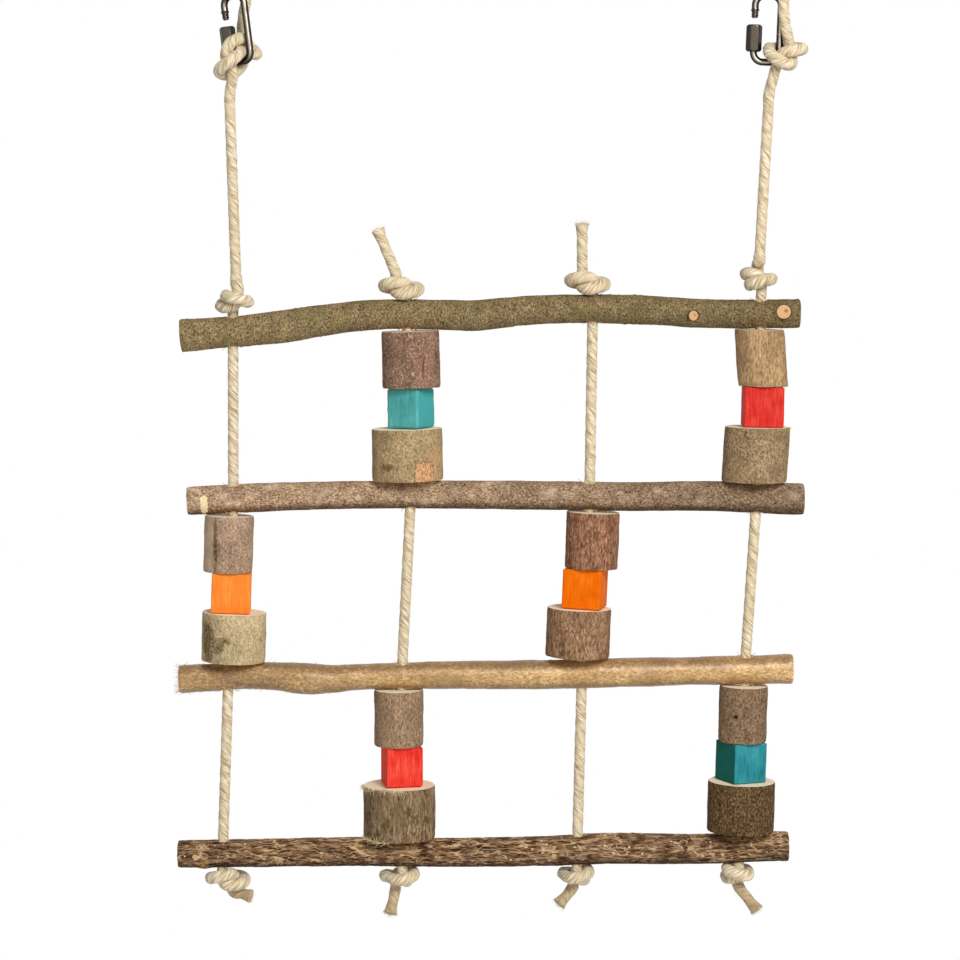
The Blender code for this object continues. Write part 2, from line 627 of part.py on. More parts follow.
def make_hitch(side, laid, matrix, rods):
    """An outer rope's cut end, knotted round the foot of its link."""
    start = hitch_bend(side) + np.array((0.0, 0.0, ROPE_RADIUS + SEAT_GAP))
    lead = start + np.array((0.0, 0.0, KNOT_STEP))
    laid = moved(laid + np.array((0.0, 0.0, LINK_FOOT)), matrix)
    end = np.array(matrix.translation) + LINK_TAIL_END[side]
    line = draw_tight(np.vstack((lead, laid, end)), rods, rounds=HITCH_ROUNDS, draw=HITCH_DRAW)
    turns = even_line(line, KNOT_RING_STEP)
    name = f"rope_{OUTER_ROPES[side] + 1}_hitch"
    knotted_piece(name, [start], turns[:-1], turns[-1:], 1.0, None, start, flare=True)


def make_hanger(side, knot, parent):
    """The stretch of an outer rope from its hitch down to its top knot."""
    start = hitch_bend(side)
    end = knot_bend(side, knot) + np.array((0.0, 0.0, ROPE_RADIUS + SEAT_GAP))
    points = even_line(np.stack((start, end)), STRETCH_STEP)
    name = f"rope_{OUTER_ROPES[side] + 1}_hanger"
    rope_piece(name, points, parent, start, STRETCH_SIDES, dome=True)


def knot_start(rope):
    """Where a rope runs into its knot over the top rung."""
    centre = crossing(rope, 0)
    return centre - hole_line(rope, 0) * (rung_at(0, centre[0])[1] + TOP_KNOTS[rope][0])


def make_top_knot(rope, knot, parent):
    """The knot over the top rung, with its lead through the rung and its tail or bend above."""
    _, roll, hand = TOP_KNOTS[rope]
    centre, line = crossing(rope, 0), hole_line(rope, 0)
    shape = turned(knot, roll, hand)
    shape = even_line(shape - shape[0] + knot_start(rope), KNOT_RING_STEP)
    lead = np.stack((centre + line * rope_end_depth(rope, 0), centre))
    name = f"rope_{rope + 1}_top_knot"
    if rope in OUTER_ROPES:
        tail = tail_line(shape, knot_bend(OUTER_ROPES.index(rope), knot))
        knotted_piece(name, lead, shape, tail, KNOT_PRESS, parent, centre, dome=True)
    else:
        tail = tail_line(shape, centre + TOP_TAIL_END[rope])
        knotted_piece(name, lead, shape, tail, KNOT_PRESS, parent, centre, flare=True)


def make_stretch(rope, bay, knot, parent):
    """A rope's run down one bay and through the rung below; the last one ends in a knot and tail."""
    name = f"rope_{rope + 1}_" + ("upper", "middle", "lower")[bay]
    start, end, line = crossing(rope, bay), crossing(rope, bay + 1), bay_line(rope, bay)
    top = start + line * (rung_at(bay, start[0])[1] + SEAT_GAP)
    if bay < 2:
        foot = end + line * rope_end_depth(rope, bay + 1)
        run = even_line(np.stack((top, foot)), STRETCH_STEP)
        rope_piece(name, run, parent, top, STRETCH_SIDES)
        return
    free, roll, hand = BOTTOM_KNOTS[rope]
    foot = end + line * (rung_at(bay + 1, end[0])[1] + free)
    shape = turned(knot, roll, hand)[::-1]
    shape = even_line(shape - shape[0] + foot, KNOT_RING_STEP)
    run = even_line(np.stack((top, foot)), STRETCH_STEP)[:-1]
    tail = tail_line(shape, end + BOTTOM_TAIL_END[rope])
    knotted_piece(name, run, shape, tail, KNOT_PRESS, parent, top, flare=True)


def level_axis(bay):
    """Two points on the line about which a bay and the rung below it swing."""
    ropes = [stack[1] for stack in STACKS if stack[0] == bay]
    return crossing(ropes[0], bay), crossing(ropes[1], bay)


def build():
    clear_scene()
    for side, laid in enumerate((LEFT_HITCH, RIGHT_HITCH)):
        rods = make_link(*LINKS[side])
        make_hitch(side, laid, link_matrix(*LINKS[side][1:]), rods)
    knot = overhand()
    bends = np.array([hitch_bend(side) for side in (0, 1)])
    ropes_pivot = pivot("hanging_ropes_pivot", bends.mean(axis=0))
    for side in (0, 1):
        make_hanger(side, knot, ropes_pivot)
    bends = np.array([knot_bend(side, knot) for side in (0, 1)])
    level_pivot = pivot("top_rung_pivot", bends.mean(axis=0), ropes_pivot)
    for rope in range(len(ROPE_X)):
        make_top_knot(rope, knot, level_pivot)
    make_rung(0, level_pivot, crossing(0, 0))
    for bay in range(len(RUNGS) - 1):
        near, far = level_axis(bay)
        level_pivot = pivot(RUNGS[bay + 1][0] + "_pivot", (near + far) / 2, level_pivot)
        for rope in range(len(ROPE_X)):
            make_stretch(rope, bay, knot, level_pivot)
        make_rung(bay + 1, level_pivot, crossing(0, bay + 1))
        for index, stack in enumerate(STACKS):
            if stack[0] == bay:
                make_stack(index, level_pivot)


build()
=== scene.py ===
import math

import bmesh
import bpy
import numpy as np
from mathutils import Matrix, Vector


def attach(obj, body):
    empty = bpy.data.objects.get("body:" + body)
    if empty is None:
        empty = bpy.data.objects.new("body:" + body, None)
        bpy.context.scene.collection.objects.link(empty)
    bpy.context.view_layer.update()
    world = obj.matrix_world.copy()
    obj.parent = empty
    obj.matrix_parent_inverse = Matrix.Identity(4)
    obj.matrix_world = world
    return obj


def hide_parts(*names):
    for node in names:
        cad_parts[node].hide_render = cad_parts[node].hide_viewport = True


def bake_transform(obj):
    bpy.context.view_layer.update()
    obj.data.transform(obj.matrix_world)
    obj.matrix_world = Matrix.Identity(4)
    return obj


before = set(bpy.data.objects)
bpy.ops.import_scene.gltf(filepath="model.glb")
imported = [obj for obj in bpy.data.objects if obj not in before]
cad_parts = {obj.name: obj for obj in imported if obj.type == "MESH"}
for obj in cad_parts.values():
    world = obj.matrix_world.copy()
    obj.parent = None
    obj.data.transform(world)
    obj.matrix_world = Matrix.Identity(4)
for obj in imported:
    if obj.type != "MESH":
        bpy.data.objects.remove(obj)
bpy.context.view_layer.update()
print("frame loaded:", len(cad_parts), "solids")


# Small tools

def linear(code):  # an sRGB hex value as linear colour
    shares = [int(code[k:k + 2], 16) / 255 for k in (1, 3, 5)]
    return (*[s / 12.92 if s <= 0.04045 else ((s + 0.055) / 1.055) ** 2.4 for s in shares], 1.0)


def perMetre(mm):  # a texture's scale from the size of its features
    return 1000.0 / mm


def setInputs(tree, node, inputs):  # each is a value, a socket or a node
    for name, value in inputs.items():
        if isinstance(value, bpy.types.Node):
            value = next(socket for socket in value.outputs if socket.enabled)
        if isinstance(value, bpy.types.NodeSocket):
            tree.links.new(value, node.inputs[name])
        else:
            node.inputs[name].default_value = value


def addNode(tree, kind, inputs={}, stops=(), **settings):  # stops are those of a colour ramp
    node = tree.nodes.new(kind)
    for name, value in settings.items():
        setattr(node, name, value)
    setInputs(tree, node, inputs)
    for k, (position, code) in enumerate(stops):
        ramp = node.color_ramp.elements
        stop = ramp[k] if k < 2 else ramp.new(position)
        stop.position = position
        stop.color = linear(code)
    return node


def newMaterial(name):  # the material, its tree, its shader and its object coordinates
    material = bpy.data.materials.new(name)
    material.use_nodes = True
    tree = material.node_tree
    place = addNode(tree, "ShaderNodeTexCoord").outputs["Object"]
    return material, tree, tree.nodes["Principled BSDF"], place


def newTree(name, **inputs):  # a Geometry Nodes tree; each input is its socket type and start value
    tree = bpy.data.node_groups.new(name, "GeometryNodeTree")
    tree.interface.new_socket("Geometry", in_out="OUTPUT", socket_type="NodeSocketGeometry")
    tree.interface.new_socket("Geometry", in_out="INPUT", socket_type="NodeSocketGeometry")
    for label, (kind, value) in inputs.items():
        socket = tree.interface.new_socket(label, in_out="INPUT", socket_type="NodeSocket" + kind)
        if value is not None:
            socket.default_value = value
    return tree, tree.nodes.new("NodeGroupInput").outputs


def closeTree(tree, geometry, material):  # real geometry, with its material
    real = addNode(tree, "GeometryNodeRealizeInstances", {0: geometry})
    dressed = addNode(tree, "GeometryNodeSetMaterial", {"Geometry": real, "Material": material})
    addNode(tree, "NodeGroupOutput", {0: dressed})


def linked(name, mesh):
    obj = bpy.data.objects.new(name, mesh)
    bpy.context.collection.objects.link(obj)
    return obj


def softStep(value):
    value = np.clip(value, 0.0, 1.0)
    return value * value * (3 - 2 * value)


def wire(points, **values):  # a line of vertices with its own values at each point
    mesh = bpy.data.meshes.new("wire")
    mesh.from_pydata([tuple(p) for p in points], [(k, k + 1) for k in range(len(points) - 1)], [])
    for name, value in values.items():
        setValues(mesh, name, value)
    return mesh


def setValues(mesh, name, value):  # a number or a vector for each vertex
    value = np.asarray(value, dtype=np.float32)
    kind, field = ("FLOAT_VECTOR", "vector") if value.ndim == 2 else ("FLOAT", "value")
    mesh.attributes.new(name, kind, "POINT").data.foreach_set(field, value.ravel())


def places(mesh):  # the mesh's vertices as an array
    spots = np.empty(3 * len(mesh.vertices), dtype=np.float32)
    mesh.vertices.foreach_get("co", spots)
    return spots.reshape(-1, 3).astype(float)


def grown(name, mesh, tree, **values):  # a tree's result on a mesh, as a plain mesh
    seed = linked(name, mesh)
    modifier = seed.modifiers.new(name, "NODES")
    modifier.node_group = tree
    for item in tree.interface.items_tree:
        if item.in_out == "INPUT" and item.name in values:
            modifier[item.identifier] = values[item.name]
    return settled(seed)


def settled(obj):  # an object's modifiers made real; only the mesh is kept
    ready = bpy.context.evaluated_depsgraph_get()
    mesh = bpy.data.meshes.new_from_object(obj.evaluated_get(ready), preserve_all_data_layers=True,
                                           depsgraph=ready)
    old = obj.data
    bpy.data.objects.remove(obj)
    bpy.data.meshes.remove(old)
    return mesh


# Camera, floor and light

studio = {
    "aim": (-0.01177, 0.0, -0.27045),   # the point in the middle of the picture
    "distance": 1.7046,
    "pitch": 4.8,                       # degrees, looking down
    "lens": 112.5,                      # mm
    "frameWidth": 36.0,                 # mm
    "floorHeight": -1.0,
    "floorRadius": 9.0,
    "floorSides": 64,
    "paper": "#ffffff",
    "shadow": 0.35,                     # how much of the floor's own shading shows under the object
    "shadowReach": (0.4, 1.6),          # where that starts to fade and has gone
    "skyLight": 0.34,
    "keyPlace": (0.65, -1.68, 0.75),
    "keySize": 0.75,
    "keyPower": 36.0,
}


def makeCamera():
    pitch = math.radians(studio["pitch"])
    camera = bpy.data.objects.new("camera", bpy.data.cameras.new("camera"))
    back = Vector((0.0, -math.cos(pitch), math.sin(pitch))) * studio["distance"]
    camera.location = Vector(studio["aim"]) + back
    camera.rotation_euler = (math.pi / 2 - pitch, 0.0, 0.0)
    camera.data.sensor_width = studio["frameWidth"]
    camera.data.lens = studio["lens"]
    bpy.context.collection.objects.link(camera)
    bpy.context.scene.camera = camera


def seenDirectly(tree):  # 1 for what the camera, a gloss or a glass looks at
    path = addNode(tree, "ShaderNodeLightPath").outputs
    gloss = addNode(tree, "ShaderNodeMath", {0: path["Is Camera Ray"], 1: path["Is Glossy Ray"]},
                    operation="MAXIMUM")
    return addNode(tree, "ShaderNodeMath", {0: gloss, 1: path["Is Transmission Ray"]},
                   operation="MAXIMUM")


def makeSky():
    world = bpy.data.worlds.new("white studio")
    bpy.context.scene.world = world
    world.use_nodes = True
    tree = world.node_tree
    level = addNode(tree, "ShaderNodeMapRange",
                    {"Value": seenDirectly(tree), "To Min": studio["skyLight"], "To Max": 1.0})
    setInputs(tree, tree.nodes["Background"], {"Strength": level, "Color": linear(studio["paper"])})
    bpy.context.scene.view_settings.view_transform = "Standard"


def paperMaterial():  # matt white paper that keeps a faint shadow
    material, tree, shader, place = newMaterial("white paper floor")
    setInputs(tree, shader, {"Base Color": linear(studio["paper"]), "Roughness": 1.0})
    glow = addNode(tree, "ShaderNodeEmission", {"Color": linear(studio["paper"]), "Strength": 1.0})
    flat = addNode(tree, "ShaderNodeVectorMath", {0: place, 1: (1.0, 1.0, 0.0)}, operation="MULTIPLY")
    far = addNode(tree, "ShaderNodeVectorMath", {0: flat}, operation="LENGTH").outputs["Value"]
    plain = addNode(tree, "ShaderNodeMapRange", {
        "Value": far, "From Min": studio["shadowReach"][0], "From Max": studio["shadowReach"][1],
        "To Min": 1.0 - studio["shadow"], "To Max": 1.0})
    share = addNode(tree, "ShaderNodeMath", {0: seenDirectly(tree), 1: plain}, operation="MULTIPLY")
    mixed = addNode(tree, "ShaderNodeMixShader", {0: share, 1: shader, 2: glow})
    setInputs(tree, tree.nodes["Material Output"], {"Surface": mixed})
    return material


def makeFloor():
    bm = bmesh.new()
    bmesh.ops.create_circle(bm, cap_ends=True, segments=studio["floorSides"], radius=studio["floorRadius"],
                            matrix=Matrix.Translation((0.0, 0.0, studio["floorHeight"])))
    mesh = bpy.data.meshes.new("paperFloor")
    bm.to_mesh(mesh)
    bm.free()
    mesh.materials.append(paperMaterial())
    linked("paperFloor", mesh)


def makeLamp():
    lamp = bpy.data.objects.new("softbox", bpy.data.lights.new("softbox", "AREA"))
    lamp.location = studio["keyPlace"]
    aim = Vector(studio["aim"]) - lamp.location
    lamp.rotation_euler = aim.to_track_quat("-Z", "Y").to_euler()
    lamp.data.size = studio["keySize"]
    lamp.data.energy = studio["keyPower"]
    bpy.context.collection.objects.link(lamp)


makeCamera()
makeSky()
makeFloor()
makeLamp()
print("camera, floor and light set")


# Lines of the frame, as the solids have them

rungs = {
    "names": ("top_rung", "second_rung", "third_rung", "bottom_rung"),
    "bodies": ("top_level", "second_level", "third_level", "bottom_level"),
    "length": 0.350,
    "drop": 0.1765,        # from the hang line to the top rung's datum
    "pitch": 0.1025,       # from one rung's datum to the next
    "middles": (-0.0060, -0.0030, -0.0085, -0.0100),
    "stations": (          # x, rise above the datum, diameter
        ((-0.181, -0.0119, 0.0186), (-0.144, -0.0091, 0.0176), (-0.128, -0.0074, 0.0184),
         (-0.097, -0.0028, 0.0174), (-0.075, -0.0004, 0.0170), (-0.033, -0.0003, 0.0170),
         (-0.017, -0.0006, 0.0174), (0.014, 0.0022, 0.0164), (0.075, 0.0028, 0.0164),
         (0.117, 0.0005, 0.0164), (0.169, 0.0005, 0.0164)),
        ((-0.178, -0.0034, 0.0160), (-0.137, -0.0014, 0.0164), (-0.113, -0.0006, 0.0160),
         (0.030, -0.0003, 0.0164), (0.070, -0.0009, 0.0164), (0.118, -0.0006, 0.0170),
         (0.166, -0.0023, 0.0180)),
        ((-0.183, -0.0031, 0.0160), (-0.129, -0.0014, 0.0160), (-0.113, -0.0028, 0.0178),
         (-0.097, -0.0031, 0.0162), (-0.081, -0.0019, 0.0149), (-0.025, -0.0008, 0.0160),
         (0.022, -0.0005, 0.0166), (0.070, 0.0007, 0.0166), (0.110, 0.0016, 0.0160),
         (0.160, 0.0027, 0.0170)),
        ((-0.184, -0.0019, 0.0160), (-0.138, -0.0013, 0.0160), (-0.090, -0.0005, 0.0166),
         (-0.033, -0.0010, 0.0166), (0.023, -0.0002, 0.0172), (0.063, 0.0013, 0.0178),
         (0.111, 0.0010, 0.0172), (0.160, 0.0027, 0.0172))),
    "step": 0.00065,       # between rings of the bark
    "sides": 84,
    "rimEase": (0.0005, 0.0007),   # how far a sawn rim is worn in, and along what length
    "toneSpan": (-0.16, 0.15),     # x between which a bark's tone changes
}
links = {
    "names": ("left_link", "right_link"),
    "sides": (-1, 1),
    "turns": (-35.0, 0.0),     # degrees about the vertical
    "leans": (7.0, -2.0),      # degrees in the frame's plane
    "spacing": 0.300,
    "length": 0.041,
    "width": 0.0185,
    "rod": 0.0040,
    "bend": 0.0053,
    "bendStep": 5,             # degrees between points of a bend
    "endDrop": 0.0109,         # from the bearing point to the threaded end
    "nutLength": 0.0150,
    "nutFlats": 0.0080,
    "nutCover": 0.0010,        # from the nut's upper face down to the rod's lower end
    "nutBoreGap": 0.0002,
    "nutTurns": (0.0, 30.0),   # degrees
    "seatGap": 0.0003,
}
links["half"] = (links["width"] - links["rod"]) / 2
links["foot"] = 1.5 * links["rod"] - links["length"]
links["nutFoot"] = links["foot"] + links["bend"] + links["seatGap"]
ropes = {
    "diameter": 0.0060,
    "hole": 0.0074,
    "outer": (0, 3),
    "crossings": (             # x at the four rungs
        (-0.1515, -0.1520, -0.1555, -0.1595), (-0.0530, -0.0510, -0.0565, -0.0565),
        (0.0520, 0.0505, 0.0465, 0.0440), (0.1470, 0.1455, 0.1395, 0.1370)),
    "hitchBend": ((-0.0025, 0.0230), (0.0005, 0.0230)),   # aside of the link, and down from its foot
    "knotBend": ((0.0020, 0.0040), (-0.0010, 0.0040)),    # aside of the rope, and up from its top knot
    "hitches": (               # as laid loosely round a link's foot
        ((-0.0046, -0.0039, -0.0150), (-0.0049, -0.0052, -0.0080), (-0.0040, -0.0065, -0.0010),
         (-0.0040, -0.0022, 0.0070), (-0.0057, 0.0064, 0.0040), (-0.0023, 0.0076, -0.0050),
         (-0.0075, 0.0020, -0.0090), (-0.0132, -0.0056, -0.0070), (-0.0088, -0.0135, -0.0030),
         (0.0003, -0.0126, 0.0005), (0.0035, -0.0067, 0.0050), (0.0018, 0.0019, 0.0070),
         (0.0060, 0.0097, 0.0025), (0.0048, 0.0150, 0.0010), (-0.0053, 0.0146, 0.0050),
         (-0.0079, 0.0104, 0.0120), (-0.0040, 0.0088, 0.0200)),
        ((0.0035, -0.0045, -0.0110), (0.0050, -0.0062, -0.0020), (0.0085, -0.0085, 0.0050),
         (0.0155, -0.0060, 0.0075), (0.0165, 0.0020, 0.0075), (0.0100, 0.0065, 0.0080),
         (0.0015, 0.0055, 0.0085), (-0.0005, -0.0015, 0.0085), (0.0010, -0.0105, 0.0040),
         (0.0060, -0.0140, 0.0005), (0.0125, -0.0105, -0.0015), (0.0140, -0.0030, -0.0010),
         (0.0130, -0.0005, 0.0040), (0.0105, -0.0020, 0.0110), (0.0085, -0.0062, 0.0200))),
    "linkTails": ((0.0075, 0.0075, 0.0060), (0.0078, -0.0066, 0.0060)),   # cut ends, from the link's top
    # knots: rope left free between knot and rung, degrees of roll, hand
    "topKnots": ((0.0025, 300.0, 1), (0.0006, -5.0, -1), (0.0006, 350.0, -1), (0.0055, 285.0, -1)),
    "lowKnots": ((0.0006, 20.0, -1), (0.0006, 130.0, -1), (0.0006, 108.0, -1), (0.0006, 270.0, 1)),
    # cut ends, from where the rope crosses its rung
    "topTails": (None, (-0.0165, 0.0060, 0.0473), (-0.0063, -0.0030, 0.0478), None),
    "lowTails": ((0.0160, -0.0015, -0.0245), (-0.0069, -0.0015, -0.0354),
                 (-0.0102, 0.0010, -0.0319), (0.0102, -0.0020, -0.0359)),
    "hitchReach": 0.008,       # how far a bend reaches either way from the hitch's hinge
    "knotReach": (0.010, 0.002),   # and over and under the top knot's
    "freeReach": 0.024,        # under a rung
    "beadReach": 0.013,        # under a rung with a bead, which holds the rope straighter
    "tailStep": 0.002,
    "rodStep": 0.001,          # between the points of a link that a hitch keeps off
    "easeRounds": 8, "ease": 0.25,   # how the joints of a rope's stretches are rounded off
    # how a knot is laid and drawn tight, in rope diameters unless a share
    "knotStep": 0.3, "slack": 0.22, "rounds": 300, "draw": 0.35, "push": 0.3, "squeeze": 0.022,
    "hitchRounds": 80, "hitchDraw": 0.10, "press": 0.90,
    "ownSpan": 1.7, "core": 0.8, "aside": 0.5, "reach": 7.0, "size": 1.6, "depth": 0.35, "lead": 0.35,
    "turn": 2.05, "laidPoints": 25,
}
ropes["radius"] = ropes["diameter"] / 2


def evenLine(line, step):  # the same line with evenly spaced points
    along = np.concatenate(([0.0], np.cumsum(np.linalg.norm(np.diff(line, axis=0), axis=1))))
    marks = np.linspace(0.0, along[-1], max(3, int(round(along[-1] / step)) + 1))
    return np.stack([np.interp(marks, along, line[:, k]) for k in range(3)], axis=1)


def smoothLine(points, step):  # a smooth curve through the points
    points = np.asarray(points, dtype=float)
    padded = np.vstack((2 * points[0] - points[1], points, 2 * points[-1] - points[-2]))
    line = []
    for a, b, c, d in zip(padded, padded[1:], padded[2:], padded[3:]):
        count = max(2, int(np.linalg.norm(c - b) / (0.25 * step)))   # four points to a step
        for t in np.arange(count) / count:
            line.append(0.5 * (2 * b + (c - a) * t + (2 * a - 5 * b + 4 * c - d) * t ** 2
                               + (3 * b - a - 3 * c + d) * t ** 3))
    line.append(points[-1])
    return evenLine(np.array(line), step)


def drawTight(points, rods=(), squeeze=0.0, rounds=ropes["rounds"], draw=ropes["draw"]):
    # pulls a loose knot tight, clear of itself and the rods
    width = ropes["diameter"]
    step, contact = ropes["knotStep"] * width, (1 + ropes["slack"]) * width
    line = smoothLine(points, step)
    for _ in range(rounds):
        line[1:-1] += draw * (line[:-2] + line[2:] - 2 * line[1:-1])
        order = np.arange(len(line))
        apart = line[:, None, :] - line[None, :, :]
        gap = np.linalg.norm(apart, axis=2) + 1e-9
        along = np.abs(order[:, None] - order[None, :]) * step
        close = (along > ropes["ownSpan"] * contact) & (gap < contact)
        push = np.where(close, (contact - gap) / gap, 0.0)
        move = ropes["push"] * (push[:, :, None] * apart).sum(axis=1)
        aside = np.hypot(line[:, 0], line[:, 1] - ropes["aside"] * width)
        move[:, 2] -= squeeze * np.where(aside > ropes["core"] * width, line[:, 2], 0.0)
        for rodLine, rodRadius in rods:
            keep = width / 2 + rodRadius + ropes["slack"] * width
            apart = line[:, None, :] - rodLine[None, :, :]
            gap = np.linalg.norm(apart, axis=2)
            nearest = gap.argmin(axis=1)
            least = gap[order, nearest]
            push = np.where(least < keep, (keep - least) / (least + 1e-9), 0.0)
            move += ropes["push"] * push[:, None] * apart[order, nearest]
        line[1:-1] += move[1:-1]
        line = evenLine(line, step)
    return line


def overhand():  # an overhand knot along Z, cut where the rope leaves its turns
    width = ropes["diameter"]
    end = np.array((0.0, ropes["aside"] * width, ropes["reach"] * width))
    laid = [end * (1, 1, -1)]
    for t in np.linspace(-ropes["turn"], ropes["turn"], ropes["laidPoints"]):
        trefoil = (t ** 3 - 3 * t, t ** 4 - 4 * t ** 2 + 2, ropes["depth"] * (t ** 5 - 10 * t))
        laid.append(ropes["size"] * width * np.array(trefoil))
    laid.append(end)
    line = drawTight(laid, squeeze=ropes["squeeze"]) - end * (0, 1, 0)
    turns = np.hypot(line[:, 0], line[:, 1]) > ropes["core"] * width
    half = np.abs(line[turns, 2]).max() + width / 2
    inside = np.nonzero(np.abs(line[:, 2]) < half)[0]
    line = line[inside[0]:inside[-1] + 1]
    rise = np.array((0.0, 0.0, half))
    return ropes["press"] * np.vstack((line[0] * (1, 1, 0) - rise, line, line[-1] * (1, 1, 0) + rise))


def turned(points, roll, hand):  # a knot rolled about Z, mirrored where its hand is -1
    c, s = math.cos(math.radians(roll)), math.sin(math.radians(roll))
    return (points * (hand, 1, 1)) @ np.array(((c, s, 0.0), (-s, c, 0.0), (0.0, 0.0, 1.0)))


def tailLine(shape, end):  # from a knot's last point, straight on a little and over to the end
    rise = math.copysign(ropes["lead"] * ropes["diameter"], shape[-1][2] - shape[0][2])
    return smoothLine((shape[-1], shape[-1] + (0, 0, rise), end), ropes["tailStep"])[1:]


def rungAt(level, x):  # height of a rung's middle and its radius at x
    stations = np.array(rungs["stations"][level])
    at, values = stations[:, 0], stations[:, 1:]
    slope = np.gradient(values, at, axis=0)
    x = min(max(x, at[0]), at[-1])
    k = min(int(np.searchsorted(at, x, side="right")) - 1, len(at) - 2)
    span = at[k + 1] - at[k]
    t = (x - at[k]) / span
    rise, width = ((1 + 2 * t) * (1 - t) ** 2 * values[k] + t ** 2 * (3 - 2 * t) * values[k + 1]
                   + span * (t * (1 - t) ** 2 * slope[k] - t ** 2 * (1 - t) * slope[k + 1]))
    return -rungs["drop"] - level * rungs["pitch"] + rise, width / 2


def crossing(rope, level):  # where a rope meets a rung's middle
    x = ropes["crossings"][rope][level]
    return np.array((x, 0.0, rungAt(level, x)[0]))


def bayLine(rope, bay):  # a rope's direction down a bay
    run = crossing(rope, bay + 1) - crossing(rope, bay)
    return run / np.linalg.norm(run)


def linkMatrix(side):
    place = Matrix.Translation((links["sides"][side] * links["spacing"] / 2, 0.0, 0.0))
    return (place @ Matrix.Rotation(math.radians(-links["leans"][side]), 4, "Y")
            @ Matrix.Rotation(math.radians(links["turns"][side]), 4, "Z"))


def linkLine():  # a link's rod in its own frame, from the lower thread round to the upper one
    half, bend = links["half"], links["bend"]
    low, high = links["foot"] + bend, links["rod"] / 2 - bend
    points = [(-half, 0.0, links["nutFoot"] + links["nutLength"] - links["nutCover"])]
    for side, height, first in ((-1, low, 180), (1, low, 270), (1, high, 0), (-1, high, 90)):
        for degrees in range(first, first + 91, links["bendStep"]):
            a = math.radians(degrees)
            points.append((side * (half - bend) + bend * math.cos(a), 0.0, height + bend * math.sin(a)))
    points.append((-half, 0.0, -links["endDrop"]))
    return np.array(points)


def moved(points, matrix):
    return np.array([matrix @ Vector(p) for p in points])


# Ropes

sisal = {
    "lay": 0.026,              # length in which a strand goes once round
    "strands": 3,
    "strandRadius": 0.0026,
    "strandOffset": 0.0005,    # from the rope's middle to a strand's
    "opening": 0.16,           # how much wider the rope gets in a tight bend
    "sides": 33,
    "step": 0.0007,
    "flare": 0.32,             # how much wider a cut end opens
    "flareLength": 0.007,
    "bendSpan": 0.004,         # length over which a bend is judged
    "yarnLean": 0.95,          # turns back against each turn of the lay
    "threadDraw": 0.20,        # a thread shows some five times as long as wide
    "strayFibres": 420,        # for each metre
    "strayRoot": 0.8,          # share of the rope's radius
    "strayLift": 0.55,
    "strayReach": (0.0022, 0.0050),
    "tuftFibres": 150,
    "tuftRoot": 0.0012,        # behind the cut
    "tuftSpread": 0.3,
    "tuftReach": (0.0012, 0.0034),
    "slimness": 0.022, "curl": 0.35,   # of a loose fibre, as shares of its reach
    # deep is the darkest fibre colour and also the painted shade in the grooves
    "pale": "#faf0dc", "straw": "#e6d4ae", "shade": "#c6ad80", "deep": "#866b42",
    "pink": "#ecc9a6", "green": "#d6cc9c", "soil": "#9c7840",
    "soiled": 0.6,             # how dark the lower cut ends have become
    "soilLength": 0.030,
}


def sisalMaterial():  # twisted leaf fibre: pale straw threads, dull, with painted shade in the grooves between strands
    material, tree, shader, place = newMaterial("twisted sisal")
    lobe = addNode(tree, "ShaderNodeAttribute", attribute_name="lobe").outputs["Vector"]
    along = addNode(tree, "ShaderNodeAttribute", attribute_name="along").outputs["Fac"]
    depth = addNode(tree, "ShaderNodeAttribute", attribute_name="depth").outputs["Fac"]
    # yarns lean back against the strands, so that their threads lie along the rope
    back = addNode(tree, "ShaderNodeMath", {0: along, 1: sisal["yarnLean"] * 2 * math.pi / sisal["lay"]},
                   operation="MULTIPLY")
    spun = addNode(tree, "ShaderNodeVectorRotate", {"Vector": lobe, "Angle": back},
                   rotation_type="Z_AXIS")
    thick = addNode(tree, "ShaderNodeVectorMath", {0: spun, "Scale": 1000.0 * ropes["radius"]},
                    operation="SCALE")   # in mm, as the length is
    length = addNode(tree, "ShaderNodeMath", {0: along, 1: 1000.0}, operation="MULTIPLY")
    length = addNode(tree, "ShaderNodeCombineXYZ", {"Z": length})
    drawn = addNode(tree, "ShaderNodeVectorMath", {0: length, 1: (1.0, 1.0, sisal["threadDraw"])},
                    operation="MULTIPLY")
    thread = addNode(tree, "ShaderNodeVectorMath", {0: thick, 1: drawn}, operation="ADD")
    fibres = addNode(tree, "ShaderNodeTexNoise",   # drawn coarser than real threads, so that they show
                     {"Vector": thread, "Scale": 1.15, "Detail": 4.0, "Roughness": 0.65})
    colour = addNode(tree, "ShaderNodeValToRGB", {0: fibres}, stops=(
        (0.35, sisal["deep"]), (0.44, sisal["shade"]), (0.51, sisal["straw"]), (0.59, sisal["pale"])))
    layers = []
    for code, size in ((sisal["pink"], 5.0), (sisal["green"], 7.0)):   # batches of fibre differ in hue
        batch = addNode(tree, "ShaderNodeTexNoise", {"Vector": place, "Scale": perMetre(size)})
        share = addNode(tree, "ShaderNodeMapRange", {"Value": batch, "From Min": 0.45, "From Max": 0.7,
                                                     "To Max": 0.45})
        layers.append((code, share))
    # painted shade in the grooves between strands, in the deep colour
    groove = addNode(tree, "ShaderNodeMapRange", {"Value": depth, "From Min": 0.66, "From Max": 1.0,
                                                  "To Max": 0.35})
    soil = addNode(tree, "ShaderNodeAttribute", attribute_name="soil").outputs["Fac"]
    for code, mask in layers + [(sisal["deep"], groove), (sisal["soil"], soil)]:
        colour = addNode(tree, "ShaderNodeMix", {0: mask, 6: colour, 7: linear(code)}, data_type="RGBA")
    bump = addNode(tree, "ShaderNodeBump", {"Height": fibres, "Strength": 0.9, "Distance": 0.0006})
    setInputs(tree, shader, {"Base Color": colour, "Normal": bump, "Roughness": 0.72, "Sheen Weight": 0.15})
    return material


